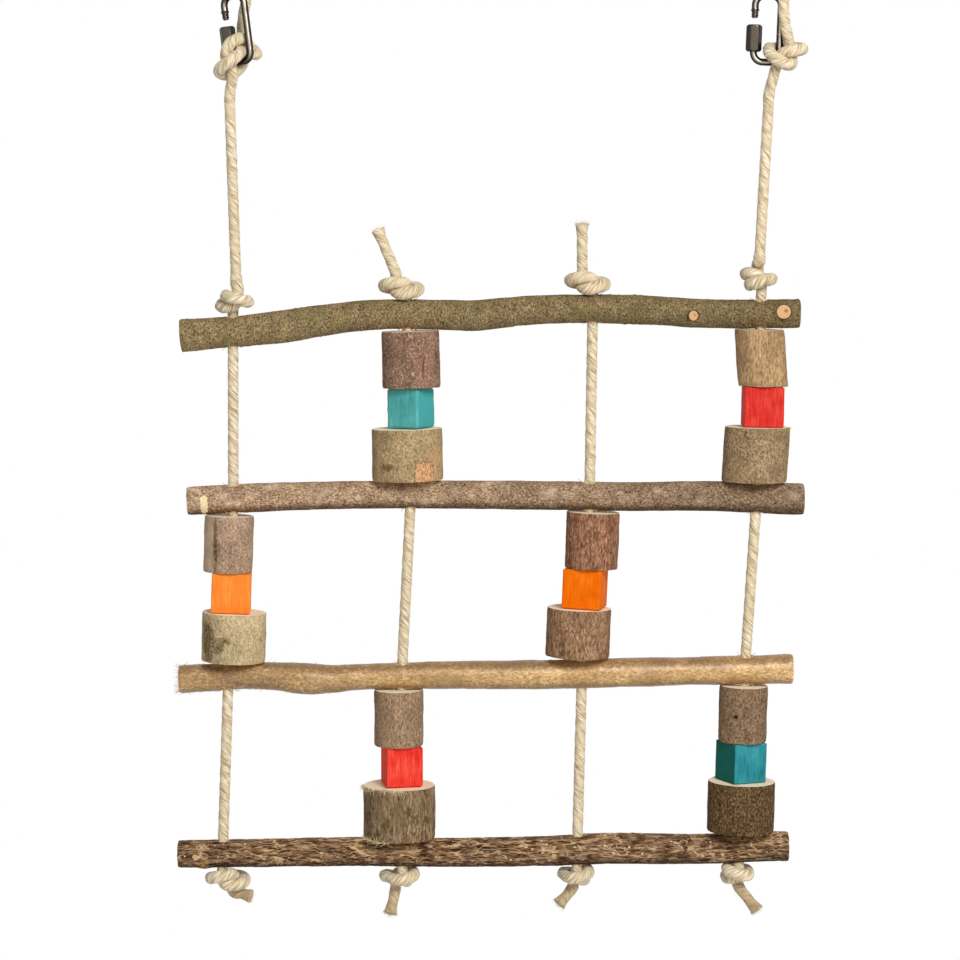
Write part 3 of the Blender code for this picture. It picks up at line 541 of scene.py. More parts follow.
def fibreMaterial():  # single leaf fibres: pale and a little shiny
    material, tree, shader, place = newMaterial("loose sisal fibre")
    blotch = addNode(tree, "ShaderNodeTexNoise", {"Vector": place, "Scale": perMetre(2.0)})
    colour = addNode(tree, "ShaderNodeValToRGB", {0: blotch}, stops=(
        (0.35, sisal["shade"]), (0.5, sisal["straw"]), (0.65, sisal["pale"])))
    setInputs(tree, shader, {"Base Color": colour, "Roughness": 0.6})
    return material


def makeRopeTree():  # sweeps a three-lobed section along a line whose facing turns with the lay
    tree, given = newTree(
        "laidRope", Sides=("Int", sisal["sides"]), Strands=("Int", 3), Offset=("Float", 0.001),
        Strand=("Float", 0.001), Material=("Material", None))
    angle = addNode(tree, "GeometryNodeInputPosition")
    flat = addNode(tree, "ShaderNodeSeparateXYZ", {0: angle}).outputs
    turn = addNode(tree, "ShaderNodeMath", {0: flat["Y"], 1: flat["X"]}, operation="ARCTAN2")
    half = addNode(tree, "ShaderNodeMath", {0: math.pi, 1: given["Strands"]}, operation="DIVIDE")
    less = addNode(tree, "ShaderNodeMath", {0: half, 1: -1.0}, operation="MULTIPLY")
    off = addNode(tree, "ShaderNodeMath", {0: turn, 1: half, 2: less}, operation="WRAP")
    parts = []
    for share in ("COSINE", "SINE"):   # of the offset, towards the angle and across it
        part = addNode(tree, "ShaderNodeMath", {0: off}, operation=share)
        parts.append(addNode(tree, "ShaderNodeMath", {0: part, 1: given["Offset"]}, operation="MULTIPLY"))
    near, side = parts
    squares = [addNode(tree, "ShaderNodeMath", {0: value, 1: value}, operation="MULTIPLY")
               for value in (given["Strand"], side)]
    rest = addNode(tree, "ShaderNodeMath", {0: squares[0], 1: squares[1]}, operation="SUBTRACT")
    root = addNode(tree, "ShaderNodeMath", {0: rest, 1: 0.5}, operation="POWER")
    reach = addNode(tree, "ShaderNodeMath", {0: near, 1: root}, operation="ADD")
    edge = addNode(tree, "ShaderNodeMath", {0: off}, operation="ABSOLUTE")
    groove = addNode(tree, "ShaderNodeMath", {0: edge, 1: half}, operation="DIVIDE")
    circle = addNode(tree, "GeometryNodeCurvePrimitiveCircle",
                     {"Resolution": given["Sides"], "Radius": 1.0})
    for label, value, kind in (("lobe", angle, "FLOAT_VECTOR"), ("depth", groove, "FLOAT")):
        circle = addNode(tree, "GeometryNodeStoreNamedAttribute",
                         {"Geometry": circle, "Name": label, "Value": value}, data_type=kind)
    spot = addNode(tree, "ShaderNodeVectorMath", {0: angle, "Scale": reach}, operation="SCALE")
    section = addNode(tree, "GeometryNodeSetPosition", {"Geometry": circle, "Position": spot})
    facing = addNode(tree, "GeometryNodeInputNamedAttribute", {"Name": "facing"},
                     data_type="FLOAT_VECTOR")
    swell = addNode(tree, "GeometryNodeInputNamedAttribute", {"Name": "swell"}, data_type="FLOAT")
    line = addNode(tree, "GeometryNodeMeshToCurve", {0: given["Geometry"]})
    line = addNode(tree, "GeometryNodeSetCurveNormal", {"Curve": line, "Normal": facing}, mode="FREE")
    swept = addNode(tree, "GeometryNodeCurveToMesh",
                    {"Curve": line, "Profile Curve": section, "Scale": swell, "Fill Caps": True})
    smooth = addNode(tree, "GeometryNodeSetShadeSmooth", {"Geometry": swept})
    closeTree(tree, smooth, given["Material"])
    return tree


def makeSproutTree():  # a thin bent fibre or splinter on each point, along its lean and as long as its reach
    tree, given = newTree("sprouts", Slimness=("Float", 0.02), Curl=("Float", 0.3), Seed=("Int", 1),
                          Material=("Material", None))
    tip = addNode(tree, "ShaderNodeCombineXYZ", {"X": given["Curl"], "Z": 1.0})
    bow = addNode(tree, "GeometryNodeCurveQuadraticBezier",
                  {"Resolution": 5, "Middle": (0.0, 0.0, 0.55), "Start": (0.0, 0.0, -0.05), "End": tip})
    share = addNode(tree, "GeometryNodeSplineParameter").outputs["Factor"]
    thin = addNode(tree, "ShaderNodeMapRange", {"Value": share, "To Min": 1.0, "To Max": 0.25})
    ring = addNode(tree, "GeometryNodeCurvePrimitiveCircle",
                   {"Resolution": 3, "Radius": given["Slimness"]})
    fibre = addNode(tree, "GeometryNodeCurveToMesh",
                    {"Curve": bow, "Profile Curve": ring, "Scale": thin, "Fill Caps": True})
    lean = addNode(tree, "GeometryNodeInputNamedAttribute", {"Name": "lean"}, data_type="FLOAT_VECTOR")
    reach = addNode(tree, "GeometryNodeInputNamedAttribute", {"Name": "reach"}, data_type="FLOAT")
    roll = addNode(tree, "FunctionNodeRandomValue", {2: 0.0, 3: 2 * math.pi, "Seed": given["Seed"]},
                   data_type="FLOAT")
    spin = addNode(tree, "FunctionNodeAxisAngleToRotation", {"Axis": (0.0, 0.0, 1.0), "Angle": roll})
    stand = addNode(tree, "FunctionNodeAlignRotationToVector", {"Vector": lean}, axis="Z")
    stand = addNode(tree, "FunctionNodeRotateRotation", {"Rotation": stand, "Rotate By": spin},
                    rotation_space="LOCAL")
    grove = addNode(tree, "GeometryNodeInstanceOnPoints",
                    {"Points": given["Geometry"], "Instance": fibre, "Rotation": stand, "Scale": reach})
    closeTree(tree, grove, given["Material"])
    return tree


ropeTree = makeRopeTree()
sproutTree = makeSproutTree()
sisalRope = sisalMaterial()
sisalFibre = fibreMaterial()
knot = overhand()


def knotStart(rope):  # where a rope runs into its knot over the top rung
    centre = crossing(rope, 0)
    return centre - bayLine(rope, 0) * (rungAt(0, centre[0])[1] + ropes["topKnots"][rope][0])


def hitchBend(side):
    aside, drop = ropes["hitchBend"][side]
    return np.array((links["sides"][side] * links["spacing"] / 2 + aside, 0.0, links["foot"] - drop))


def knotBend(side):
    rope = ropes["outer"][side]
    aside, rise = ropes["knotBend"][side]
    top = knotStart(rope) + knot[-1] - knot[0]
    return np.array((ropes["crossings"][rope][0] + aside, 0.0, top[2] + rise))


def hitchLine(side):  # from under the link up through the hitch to the cut end
    matrix = linkMatrix(side)
    rod = moved(linkLine(), matrix)
    nutAxis = moved(((-links["half"], 0.0, links["nutFoot"]), (-links["half"], 0.0, -links["rod"])), matrix)
    keepOff = ((evenLine(rod, ropes["rodStep"]), links["rod"] / 2),
               (evenLine(nutAxis, ropes["rodStep"]), links["nutFlats"] / math.sqrt(3)))
    lead = hitchBend(side) + (0, 0, ropes["radius"] + ropes["knotStep"] * ropes["diameter"])
    laid = moved(np.array(ropes["hitches"][side]) + (0, 0, links["foot"]), matrix)
    end = np.array(matrix.translation) + ropes["linkTails"][side]
    return drawTight(np.vstack((lead, laid, end)), keepOff, rounds=ropes["hitchRounds"],
                     draw=ropes["hitchDraw"])


def ropeLine(rope):  # a rope's middle from its upper cut end to its lower one, and where its pieces part
    centre = crossing(rope, 0)
    shape = turned(knot, *ropes["topKnots"][rope][1:])
    shape = shape - shape[0] + knotStart(rope)
    cuts = [crossing(rope, level) for level in range(3)]
    if rope in ropes["outer"]:
        side = ropes["outer"].index(rope)
        upper, lower = hitchBend(side), knotBend(side)
        halfway = (upper + lower) / 2
        parts = [hitchLine(side)[::-1], [upper], [halfway], tailLine(shape, lower)[::-1]]
        cuts = [halfway] + cuts
    else:
        parts = [tailLine(shape, centre + ropes["topTails"][rope])[::-1]]
    parts += [shape[::-1]] + [[crossing(rope, level)] for level in range(4)]
    free, roll, hand = ropes["lowKnots"][rope]
    end = crossing(rope, 3)
    foot = end + bayLine(rope, 2) * (rungAt(3, end[0])[1] + free)
    shape = turned(knot, roll, hand)[::-1]
    shape = shape - shape[0] + foot
    parts += [shape, tailLine(shape, end + ropes["lowTails"][rope])]
    line = evenLine(np.vstack(parts), sisal["step"])
    for _ in range(ropes["easeRounds"]):
        line[1:-1] += ropes["ease"] * (line[:-2] + line[2:] - 2 * line[1:-1])
    marks = [int(np.linalg.norm(line - cut, axis=1).argmin()) for cut in cuts]
    return line, [0] + marks + [len(line) - 1]


def layFrames(line):  # a side direction at each point, turning with the lay, and the way along
    ways = np.gradient(line, axis=0)
    ways /= np.linalg.norm(ways, axis=1)[:, None]
    side = np.cross(ways[0], (0.0, 1.0, 0.0))
    sides = []
    for way in ways:
        side = side - way * (side @ way)
        side /= np.linalg.norm(side)
        sides.append(side)
    sides = np.array(sides)
    along = np.arange(len(line)) * np.linalg.norm(line[1] - line[0])
    turn = -2 * np.pi * along / sisal["lay"]
    across = np.cross(ways, sides)
    return np.cos(turn)[:, None] * sides + np.sin(turn)[:, None] * across, ways, along


def sprout(name, points, leans, reaches, look, material, seed):  # fibres or splinters, as an object
    mesh = bpy.data.meshes.new("points")
    mesh.from_pydata([tuple(p) for p in points], [], [])
    setValues(mesh, "lean", np.asarray(leans))
    setValues(mesh, "reach", np.asarray(reaches))
    return linked(name, grown(name, mesh, sproutTree, Slimness=look["slimness"], Curl=look["curl"],
                              Seed=seed, Material=material))


def looseFibres(name, line, ways, tails, seed):  # stray fibres along a piece and tufts at its cut ends
    rng = np.random.default_rng(seed)
    count = int(sisal["strayFibres"] * np.linalg.norm(np.diff(line, axis=0), axis=1).sum())
    at = rng.integers(1, len(line) - 1, count)
    out = np.cross(ways[at], rng.normal(size=(count, 3)))
    out /= np.linalg.norm(out, axis=1)[:, None]
    points = line[at] + out * ropes["radius"] * sisal["strayRoot"]
    leans = sisal["strayLift"] * out + ways[at] * rng.choice((-1.0, 1.0), count)[:, None]
    reaches = rng.uniform(*sisal["strayReach"], count)
    for end in tails:
        tip, way = line[end], ways[end] * (1 if end else -1)
        spread = rng.normal(size=(sisal["tuftFibres"], 3))
        spread -= np.outer(spread @ way, way)
        spread *= (rng.uniform(0, 1, len(spread)) ** 0.5 / np.linalg.norm(spread, axis=1))[:, None]
        root = tip + spread * ropes["radius"] * (1 + sisal["flare"]) - way * sisal["tuftRoot"]
        points = np.vstack((points, root))
        leans = np.vstack((leans, way + sisal["tuftSpread"] * spread))
        reaches = np.concatenate((reaches, rng.uniform(*sisal["tuftReach"], len(spread))))
    return sprout(name, points, leans, reaches, sisal, sisalFibre, seed)


def ropeBend(rope, label):  # the bodies that a piece runs between, and where it bends from one to the other
    if label == "hitch":
        bend = hitchBend(ropes["outer"].index(rope))
        reach = np.array((0, 0, ropes["hitchReach"]))
        return ("quick_links", "hanging_ropes"), (bend + reach, bend - reach)
    if label == "top_knot" and rope in ropes["outer"]:
        bend = knotBend(ropes["outer"].index(rope))
        over, under = ropes["knotReach"]
        return ("hanging_ropes", "top_level"), (bend + (0, 0, over), bend - (0, 0, under))
    if label == "top_knot":
        return ("top_level",), None
    bay = ("upper", "middle", "lower").index(label)
    top = crossing(rope, bay)
    reach = ropes["beadReach"] if (bay, rope) in beads["stacks"] else ropes["freeReach"]
    return rungs["bodies"][bay:bay + 2], (top, top + bayLine(rope, bay) * reach)


def carry(obj, bodies):  # on one body; between two, left unparented with its transform baked
    if len(bodies) == 1:
        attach(obj, bodies[0])
    else:
        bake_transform(obj)


def ropeSwell(ways, along):  # a rope opens in its tight bends and at its cut ends
    apart = int(sisal["bendSpan"] / sisal["step"])
    bent = np.linalg.norm(np.roll(ways, apart, axis=0) - np.roll(ways, -apart, axis=0), axis=1)
    bent[:apart] = bent[-apart:] = 0.0
    swell = 1.0 + sisal["opening"] * softStep(np.convolve(bent, np.ones(apart) / apart, "same"))
    for distance in (along, along[-1] - along):
        swell += sisal["flare"] * np.clip(1 - distance / sisal["flareLength"], 0, 1) ** 2
    return swell


def makeRope(rope):
    line, marks = ropeLine(rope)
    facing, ways, along = layFrames(line)
    swell = ropeSwell(ways, along)
    labels = (["hitch"] if rope in ropes["outer"] else []) + ["top_knot", "upper", "middle", "lower"]
    for k, label in enumerate(labels):
        cut = slice(marks[k], marks[k + 1] + 1)
        piece = f"rope_{rope + 1}_{label}"
        soil = np.zeros(len(line[cut]))
        if label == "lower":
            soil = sisal["soiled"] * softStep(1.0 - (along[-1] - along[cut]) / sisal["soilLength"])
        mesh = grown(piece, wire(line[cut], facing=facing[cut], swell=swell[cut], along=along[cut],
                                 soil=soil), ropeTree, Sides=sisal["sides"], Strands=sisal["strands"],
                     Offset=sisal["strandOffset"], Strand=sisal["strandRadius"], Material=sisalRope)
        obj = linked(piece + "_sisal", mesh)
        tails = ([0] if k == 0 else []) + ([-1] if label == "lower" else [])
        fuzz = looseFibres(piece + "_fibres", line[cut], ways[cut], tails, 40 + 10 * rope + k)
        bodies, bend = ropeBend(rope, label)
        for part in (obj, fuzz):
            carry(part, bodies)
        nodes = [piece, f"rope_{rope + 1}_hanger"] if label == "hitch" else [piece]
        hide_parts(*nodes)


# Bark

def barkLayers(tree, place, look, ragged):  # what lies over the mottled bark: shades and their masks
    layers = []
    for code, size, level, draw in look.get("flecks", ()):  # code, mm, noise level, stretch
        lay = addNode(tree, "ShaderNodeMapping", {"Vector": place, "Scale": draw, "Location": (size, 0, 0)})
        noise = addNode(tree, "ShaderNodeTexNoise", {
            "Vector": lay, "Scale": perMetre(size), "Detail": 3.0, "Roughness": 0.55})
        mask = addNode(tree, "ShaderNodeMapRange", {
            "Value": noise, "From Min": level, "From Max": level + 0.07, "To Max": 0.9})
        layers.append((code, mask))
    for code, pitch, radius, share in look.get("dots", ()):  # code, mm between, mm radius, share kept
        cell = addNode(tree, "ShaderNodeTexVoronoi", {"Vector": place, "Scale": perMetre(pitch)})
        near = addNode(tree, "ShaderNodeMapRange", {
            "Value": cell.outputs["Distance"], "From Min": radius / pitch,
            "From Max": 0.6 * radius / pitch, "To Max": 0.85})
        luck = addNode(tree, "ShaderNodeSeparateColor", {0: cell.outputs["Color"]})
        kept = addNode(tree, "ShaderNodeMath", {0: luck, 1: share}, operation="LESS_THAN")
        mask = addNode(tree, "ShaderNodeMath", {0: near, 1: kept}, operation="MULTIPLY")
        layers.append((code, mask))
    for code, size, width, draw in look.get("cracks", ()):  # code, mm between, share of that, stretch
        bent = addNode(tree, "ShaderNodeTexNoise", {"Vector": place, "Scale": perMetre(2.5 * size)})
        slip = addNode(tree, "ShaderNodeVectorMath", {0: bent.outputs["Color"], "Scale": 0.0016 * size},
                       operation="SCALE")
        lay = addNode(tree, "ShaderNodeVectorMath", {0: place, 1: slip}, operation="ADD")
        lay = addNode(tree, "ShaderNodeMapping", {"Vector": lay, "Scale": draw})
        cell = addNode(tree, "ShaderNodeTexVoronoi", {"Vector": lay, "Scale": perMetre(size)},
                       feature="DISTANCE_TO_EDGE")
        broken = addNode(tree, "ShaderNodeTexNoise", {"Vector": place, "Scale": perMetre(3 * size)})
        wide = addNode(tree, "ShaderNodeMapRange", {
            "Value": broken, "From Min": 0.38, "From Max": 0.62, "To Max": width})
        mask = addNode(tree, "ShaderNodeMapRange", {
            "Value": cell.outputs["Distance"], "From Min": wide, "From Max": 0.0, "To Max": 0.9})
        layers.append((code, mask))
    for code, size, level in look.get("tints", ()):  # broad patches: code, mm, noise level
        noise = addNode(tree, "ShaderNodeTexNoise", {
            "Vector": place, "Scale": perMetre(size), "Detail": 3.0})
        mask = addNode(tree, "ShaderNodeMapRange", {
            "Value": noise, "From Min": level, "From Max": level + 0.2, "To Max": 0.6})
        layers.append((code, mask))
    rough = addNode(tree, "ShaderNodeMath", {0: ragged, 1: 0.7, 2: -0.35}, operation="MULTIPLY_ADD")
    # the stain attribute holds real stains and also painted shade on a rung's underside
    for value, code, gain in (("crack", look["crack"], 0.5), ("smooth", "#c4ab8e", 0.8),
                              ("stainAndShade", look["stainAndShade"], 0.9), ("dot", "#2b1c10", 1.0)):
        mark = addNode(tree, "ShaderNodeAttribute", attribute_name=value).outputs["Fac"]
        level = addNode(tree, "ShaderNodeMath", {0: mark, 1: rough}, operation="ADD")
        mask = addNode(tree, "ShaderNodeMapRange", {
            "Value": level, "From Min": 0.35, "From Max": 0.7, "To Max": gain})
        layers.append((code, mask))
    return layers


def barkTone(tree, place, lie, look):  # cloudy light and dark, and lighter at one end than at the other
    cloud = addNode(tree, "ShaderNodeTexNoise", {"Vector": lie, "Scale": perMetre(8.0), "Detail": 3.0})
    tone = addNode(tree, "ShaderNodeMapRange", {"Value": cloud, "From Min": 0.35, "From Max": 0.65,
                                                "To Min": 0.84, "To Max": 1.16})
    if "tone" not in look:
        return tone
    x = addNode(tree, "ShaderNodeSeparateXYZ", {0: place}).outputs["X"]
    first, last = rungs["toneSpan"]
    side = addNode(tree, "ShaderNodeMapRange", {"Value": x, "From Min": first, "From Max": last,
                                                "To Min": look["tone"][0], "To Max": look["tone"][1]})
    return addNode(tree, "ShaderNodeMath", {0: tone, 1: side}, operation="MULTIPLY")


def barkMaterial(name, look):  # living bark: mottled, flecked, matt or a little shiny, pale wood where gone
    material, tree, shader, place = newMaterial(name)
    lie = addNode(tree, "ShaderNodeMapping", {"Vector": place, "Scale": look["draw"]})
    mottle = addNode(tree, "ShaderNodeTexNoise", {
        "Vector": lie, "Scale": perMetre(look["mottle"]), "Detail": 9.0, "Roughness": 0.68,
        "Distortion": 0.5})
    colour = addNode(tree, "ShaderNodeValToRGB", {0: mottle}, stops=tuple(
        zip((0.5 + look["contrast"] * k for k in (-0.20, -0.09, 0.0, 0.08, 0.20)), look["shades"])))
    ragged = addNode(tree, "ShaderNodeTexNoise", {"Vector": place, "Scale": perMetre(1.6), "Detail": 4.0})
    for code, mask in barkLayers(tree, place, look, ragged):
        colour = addNode(tree, "ShaderNodeMix", {0: mask, 6: colour, 7: linear(code)}, data_type="RGBA")
    tone = barkTone(tree, place, lie, look)
    colour = addNode(tree, "ShaderNodeVectorMath", {0: colour, "Scale": tone}, operation="SCALE")
    fibre = addNode(tree, "ShaderNodeTexNoise", {"Vector": lie, "Scale": perMetre(1.1), "Detail": 4.0})
    wood = addNode(tree, "ShaderNodeValToRGB", {0: fibre}, stops=tuple(
        zip((0.36, 0.48, 0.62), look["wood"])))
    bare = addNode(tree, "ShaderNodeAttribute", attribute_name="bare").outputs["Fac"]
    rough = addNode(tree, "ShaderNodeMath", {0: ragged, 1: 2.4, 2: -1.2}, operation="MULTIPLY_ADD")
    level = addNode(tree, "ShaderNodeMath", {0: bare, 1: rough, 2: bare}, operation="MULTIPLY_ADD")
    edge = addNode(tree, "ShaderNodeMapRange", {"Value": level, "From Min": 0.30, "From Max": 0.42,
                                                "To Max": 0.7})
    gone = addNode(tree, "ShaderNodeMapRange", {"Value": level, "From Min": 0.42, "From Max": 0.5})
    # a pruned twig: dark rim, sawn face with rings, pith
    scar = addNode(tree, "ShaderNodeAttribute", attribute_name="scar").outputs["Fac"]
    rim = addNode(tree, "ShaderNodeMapRange", {"Value": scar, "From Min": 1.14, "From Max": 1.02})
    rings = addNode(tree, "ShaderNodeMath", {0: scar, 1: 26.0}, operation="MULTIPLY")
    rings = addNode(tree, "ShaderNodeMath", {0: rings}, operation="SINE")
    cut = addNode(tree, "ShaderNodeValToRGB", {0: rings}, stops=((0.0, "#d2a577"), (1.0, "#e2b98b")))
    face = addNode(tree, "ShaderNodeMapRange", {"Value": scar, "From Min": 0.98, "From Max": 0.9})
    pith = addNode(tree, "ShaderNodeAttribute", attribute_name="pith").outputs["Fac"]
    for mask, shade in ((edge, linear("#5f3f22")), (gone, wood), (rim, linear("#4a3420")), (face, cut),
                        (pith, linear("#9c6638"))):
        colour = addNode(tree, "ShaderNodeMix", {0: mask, 6: colour, 7: shade}, data_type="RGBA")
    fine = addNode(tree, "ShaderNodeTexNoise", {"Vector": lie, "Scale": perMetre(1.3), "Detail": 5.0})
    both = addNode(tree, "ShaderNodeMath", {0: mottle, 1: fine}, operation="ADD")
    bump = addNode(tree, "ShaderNodeBump", {"Height": both, "Strength": 0.8, "Distance": look["bump"]})
    setInputs(tree, shader, {"Base Color": colour, "Normal": bump, "Roughness": look["roughness"],
                             "Specular IOR Level": look.get("shine", 0.1)})
    return material


def endWoodMaterial():  # a sawn branch end: pale pinkish wood, faint rings and saw marks
    material, tree, shader, place = newMaterial("sawn hazel end")
    middle = addNode(tree, "ShaderNodeAttribute", attribute_name="middle").outputs["Vector"]
    across = addNode(tree, "ShaderNodeAttribute", attribute_name="across").outputs["Vector"]
    out = addNode(tree, "ShaderNodeVectorMath", {0: place, 1: middle}, operation="SUBTRACT")
    out = addNode(tree, "ShaderNodeVectorMath", {0: out, 1: across}, operation="MULTIPLY")
    far = addNode(tree, "ShaderNodeVectorMath", {0: out}, operation="LENGTH").outputs["Value"]
    wobble = addNode(tree, "ShaderNodeTexNoise", {"Vector": place, "Scale": perMetre(9.0)})
    warp = addNode(tree, "ShaderNodeMath", {0: wobble, 1: 0.004, 2: far}, operation="MULTIPLY_ADD")
    ring = addNode(tree, "ShaderNodeMath", {0: warp, 1: 2 * math.pi * perMetre(1.9)}, operation="MULTIPLY")
    ring = addNode(tree, "ShaderNodeMath", {0: ring}, operation="SINE")
    saw = addNode(tree, "ShaderNodeMapping", {"Vector": place, "Scale": (0.3, 3.0, 1.0)})
    scratch = addNode(tree, "ShaderNodeTexNoise", {"Vector": saw, "Scale": perMetre(1.2), "Detail": 5.0})
    mixed = addNode(tree, "ShaderNodeMath", {0: ring, 1: 0.09, 2: scratch}, operation="MULTIPLY_ADD")
    colour = addNode(tree, "ShaderNodeValToRGB", {0: mixed}, stops=(
        (0.28, "#e8cba4"), (0.45, "#fae4c4"), (0.62, "#fff2dc")))
    pith = addNode(tree, "ShaderNodeMapRange", {"Value": far, "From Min": 0.0016, "From Max": 0.0006})
    final = addNode(tree, "ShaderNodeMix", {0: pith, 6: colour, 7: linear("#a8713f")}, data_type="RGBA")
    bump = addNode(tree, "ShaderNodeBump", {"Height": scratch, "Strength": 0.5, "Distance": 0.0003})
    setInputs(tree, shader, {"Base Color": final, "Normal": bump, "Roughness": 0.8})
    return material


def tornMaterial(name, shades):  # torn wood: warm, rough fibres
    material, tree, shader, place = newMaterial(name)
    lie = addNode(tree, "ShaderNodeMapping", {"Vector": place, "Scale": (1.0, 1.0, 0.3)})
    fibre = addNode(tree, "ShaderNodeTexNoise", {"Vector": lie, "Scale": perMetre(0.9), "Detail": 5.0})
    colour = addNode(tree, "ShaderNodeValToRGB", {0: fibre}, stops=tuple(zip((0.32, 0.48, 0.64), shades)))
    bump = addNode(tree, "ShaderNodeBump", {"Height": fibre, "Strength": 0.6, "Distance": 0.0004})
    setInputs(tree, shader, {"Base Color": colour, "Normal": bump, "Roughness": 0.85})
    return material


def makeBranchTree():  # a round branch along a line, with swells, pimples and narrow cracks in its bark
    tree, given = newTree(
        "branch", Sides=("Int", 64), Broad=("Float", 0.0), BroadSize=("Float", 0.02),
        Crack=("Float", 0.0), CrackSize=("Float", 0.004), Draw=("Vector", (1.0, 1.0, 1.0)),
        Pimple=("Float", 0.0), PimpleSize=("Float", 0.002), Seed=("Float", 0.0),
        Bark=("Material", None), EndWood=("Material", None))
    radius = addNode(tree, "GeometryNodeInputNamedAttribute", {"Name": "girth"}, data_type="FLOAT")
    line = addNode(tree, "GeometryNodeMeshToCurve", {0: given["Geometry"]})
    section = addNode(tree, "GeometryNodeCurvePrimitiveCircle",
                      {"Resolution": given["Sides"], "Radius": 1.0})
    swept = addNode(tree, "GeometryNodeCurveToMesh",
                    {"Curve": line, "Profile Curve": section, "Scale": radius, "Fill Caps": True})
    place = addNode(tree, "GeometryNodeInputPosition")
    drawn = addNode(tree, "ShaderNodeVectorMath", {0: place, 1: given["Draw"]}, operation="MULTIPLY")
    fields = []
    for label, spot in (("BroadSize", place), ("CrackSize", drawn), ("PimpleSize", place)):
        scale = addNode(tree, "ShaderNodeMath", {0: 1.0, 1: given[label]}, operation="DIVIDE")
        fields.append(addNode(tree, "ShaderNodeTexNoise", {
            "Vector": spot, "W": given["Seed"], "Scale": scale, "Detail": 2.0}, noise_dimensions="4D"))
    swell = addNode(tree, "ShaderNodeMapRange", {"Value": fields[0], "To Min": -2.0, "To Max": 2.0})
    swell = addNode(tree, "ShaderNodeMath", {0: swell, 1: given["Broad"]}, operation="MULTIPLY")
    off = addNode(tree, "ShaderNodeMath", {0: fields[1], 1: 0.5}, operation="SUBTRACT")
    off = addNode(tree, "ShaderNodeMath", {0: off}, operation="ABSOLUTE")
    crack = addNode(tree, "ShaderNodeMapRange", {
        "Value": off, "From Min": 0.0, "From Max": 0.045, "To Min": 1.0, "To Max": 0.0})
    pimple = addNode(tree, "ShaderNodeMapRange", {"Value": fields[2], "From Min": 0.62, "From Max": 0.75})
    lift = addNode(tree, "ShaderNodeMath", {0: pimple, 1: given["Pimple"], 2: swell},
                   operation="MULTIPLY_ADD")
    carve = addNode(tree, "ShaderNodeMath", {0: crack, 1: given["Crack"]}, operation="MULTIPLY")
    lift = addNode(tree, "ShaderNodeMath", {0: lift, 1: carve}, operation="SUBTRACT")
    carved = addNode(tree, "ShaderNodeMath", {0: given["Crack"], 1: 0.0}, operation="GREATER_THAN")
    shown = addNode(tree, "ShaderNodeMath", {0: crack, 1: carved}, operation="MULTIPLY")
    marked = addNode(tree, "GeometryNodeStoreNamedAttribute",
                     {"Geometry": swept, "Name": "crack", "Value": shown}, data_type="FLOAT")
    normal = addNode(tree, "GeometryNodeInputNormal")
    move = addNode(tree, "ShaderNodeVectorMath", {0: normal, "Scale": lift}, operation="SCALE")
    barked = addNode(tree, "GeometryNodeSetPosition", {"Geometry": marked, "Offset": move})
    smooth = addNode(tree, "GeometryNodeSetShadeSmooth", {"Geometry": barked})
    dressed = addNode(tree, "GeometryNodeSetMaterial", {"Geometry": smooth, "Material": given["Bark"]})
    corners = addNode(tree, "GeometryNodeInputMeshFaceNeighbors").outputs["Vertex Count"]
    sawn = addNode(tree, "FunctionNodeCompare", {2: corners, 3: 4}, data_type="INT",
                   operation="GREATER_THAN")
    flat = addNode(tree, "GeometryNodeSetShadeSmooth",
                   {"Geometry": dressed, "Selection": sawn, "Shade Smooth": False}, domain="FACE")
    real = addNode(tree, "GeometryNodeRealizeInstances", {0: flat})
    ends = addNode(tree, "GeometryNodeSetMaterial",
                   {"Geometry": real, "Selection": sawn, "Material": given["EndWood"]})
    addNode(tree, "NodeGroupOutput", {0: ends})
    return tree


branchTree = makeBranchTree()
endWood = endWoodMaterial()
drilledWood = tornMaterial("drilled hazel", ("#7a5f3e", "#bf9f72", "#e8d3ad"))
splinterWood = tornMaterial("hazel splinters", ("#b39563", "#e0cb9c", "#f2e4c0"))
drilling = {
    "sides": 28,
    "sharp": 40.0,     # degrees
    "through": 1.4,    # times the wood's thickness
}
marking = {
    "fade": 1.5,                # times its half size at which a mark has gone
    "under": (0.25, 1.2),       # how far up bark faces where painted shade on the underside starts, and its span
    "over": (-0.1, 0.9),        # the same for a darker top
    "noScar": 9.0,              # in radii, far from any pruned twig
    "scarReach": 1.6,           # in radii, out to which the collar round a pruned twig swells
    "collarWidth": 0.6,
    "collarLift": 0.0008,
    "scarStand": 0.0006,
    "pith": (0.3, 0.0, 0.1),    # in radii from the scar's middle
    "frayShare": 0.7,           # how bare the wood is round a hole
    "frayWidth": 0.0013,
}
splinters = {   # slimness and curl are shares of the reach
    "rim": {"count": 9, "ring": 0.55, "lift": (0.0, 0.5), "reach": (0.0012, 0.0034),
            "slimness": 0.07, "curl": 0.6},
    "shag": {"inset": (0.8, 1.0), "lift": (0.1, 0.6), "reach": (0.0012, 0.0038),
             "slimness": 0.05, "curl": 0.4},
    "fringe": {"ring": 0.49, "fall": (-0.2, 0.9), "out": (0.3, 0.9), "past": (-0.9, 0.9),
               "reach": (0.35, 1.0), "slimness": 0.07, "curl": 0.5},
}


def branch(name, line, radii, look, seed):  # a barked branch along a line, as a mesh
    return grown(name, wire(line, girth=radii), branchTree, Sides=look["sides"], Broad=look["broad"][0],
                 BroadSize=look["broad"][1], Crack=look["carve"][0], CrackSize=look["carve"][1],
                 Draw=look["draw"], Pimple=look["pimple"][0], PimpleSize=look["pimple"][1],
                 Seed=float(seed), Bark=barkMaterial(name.replace("_", " ") + " bark", look),
                 EndWood=endWood)


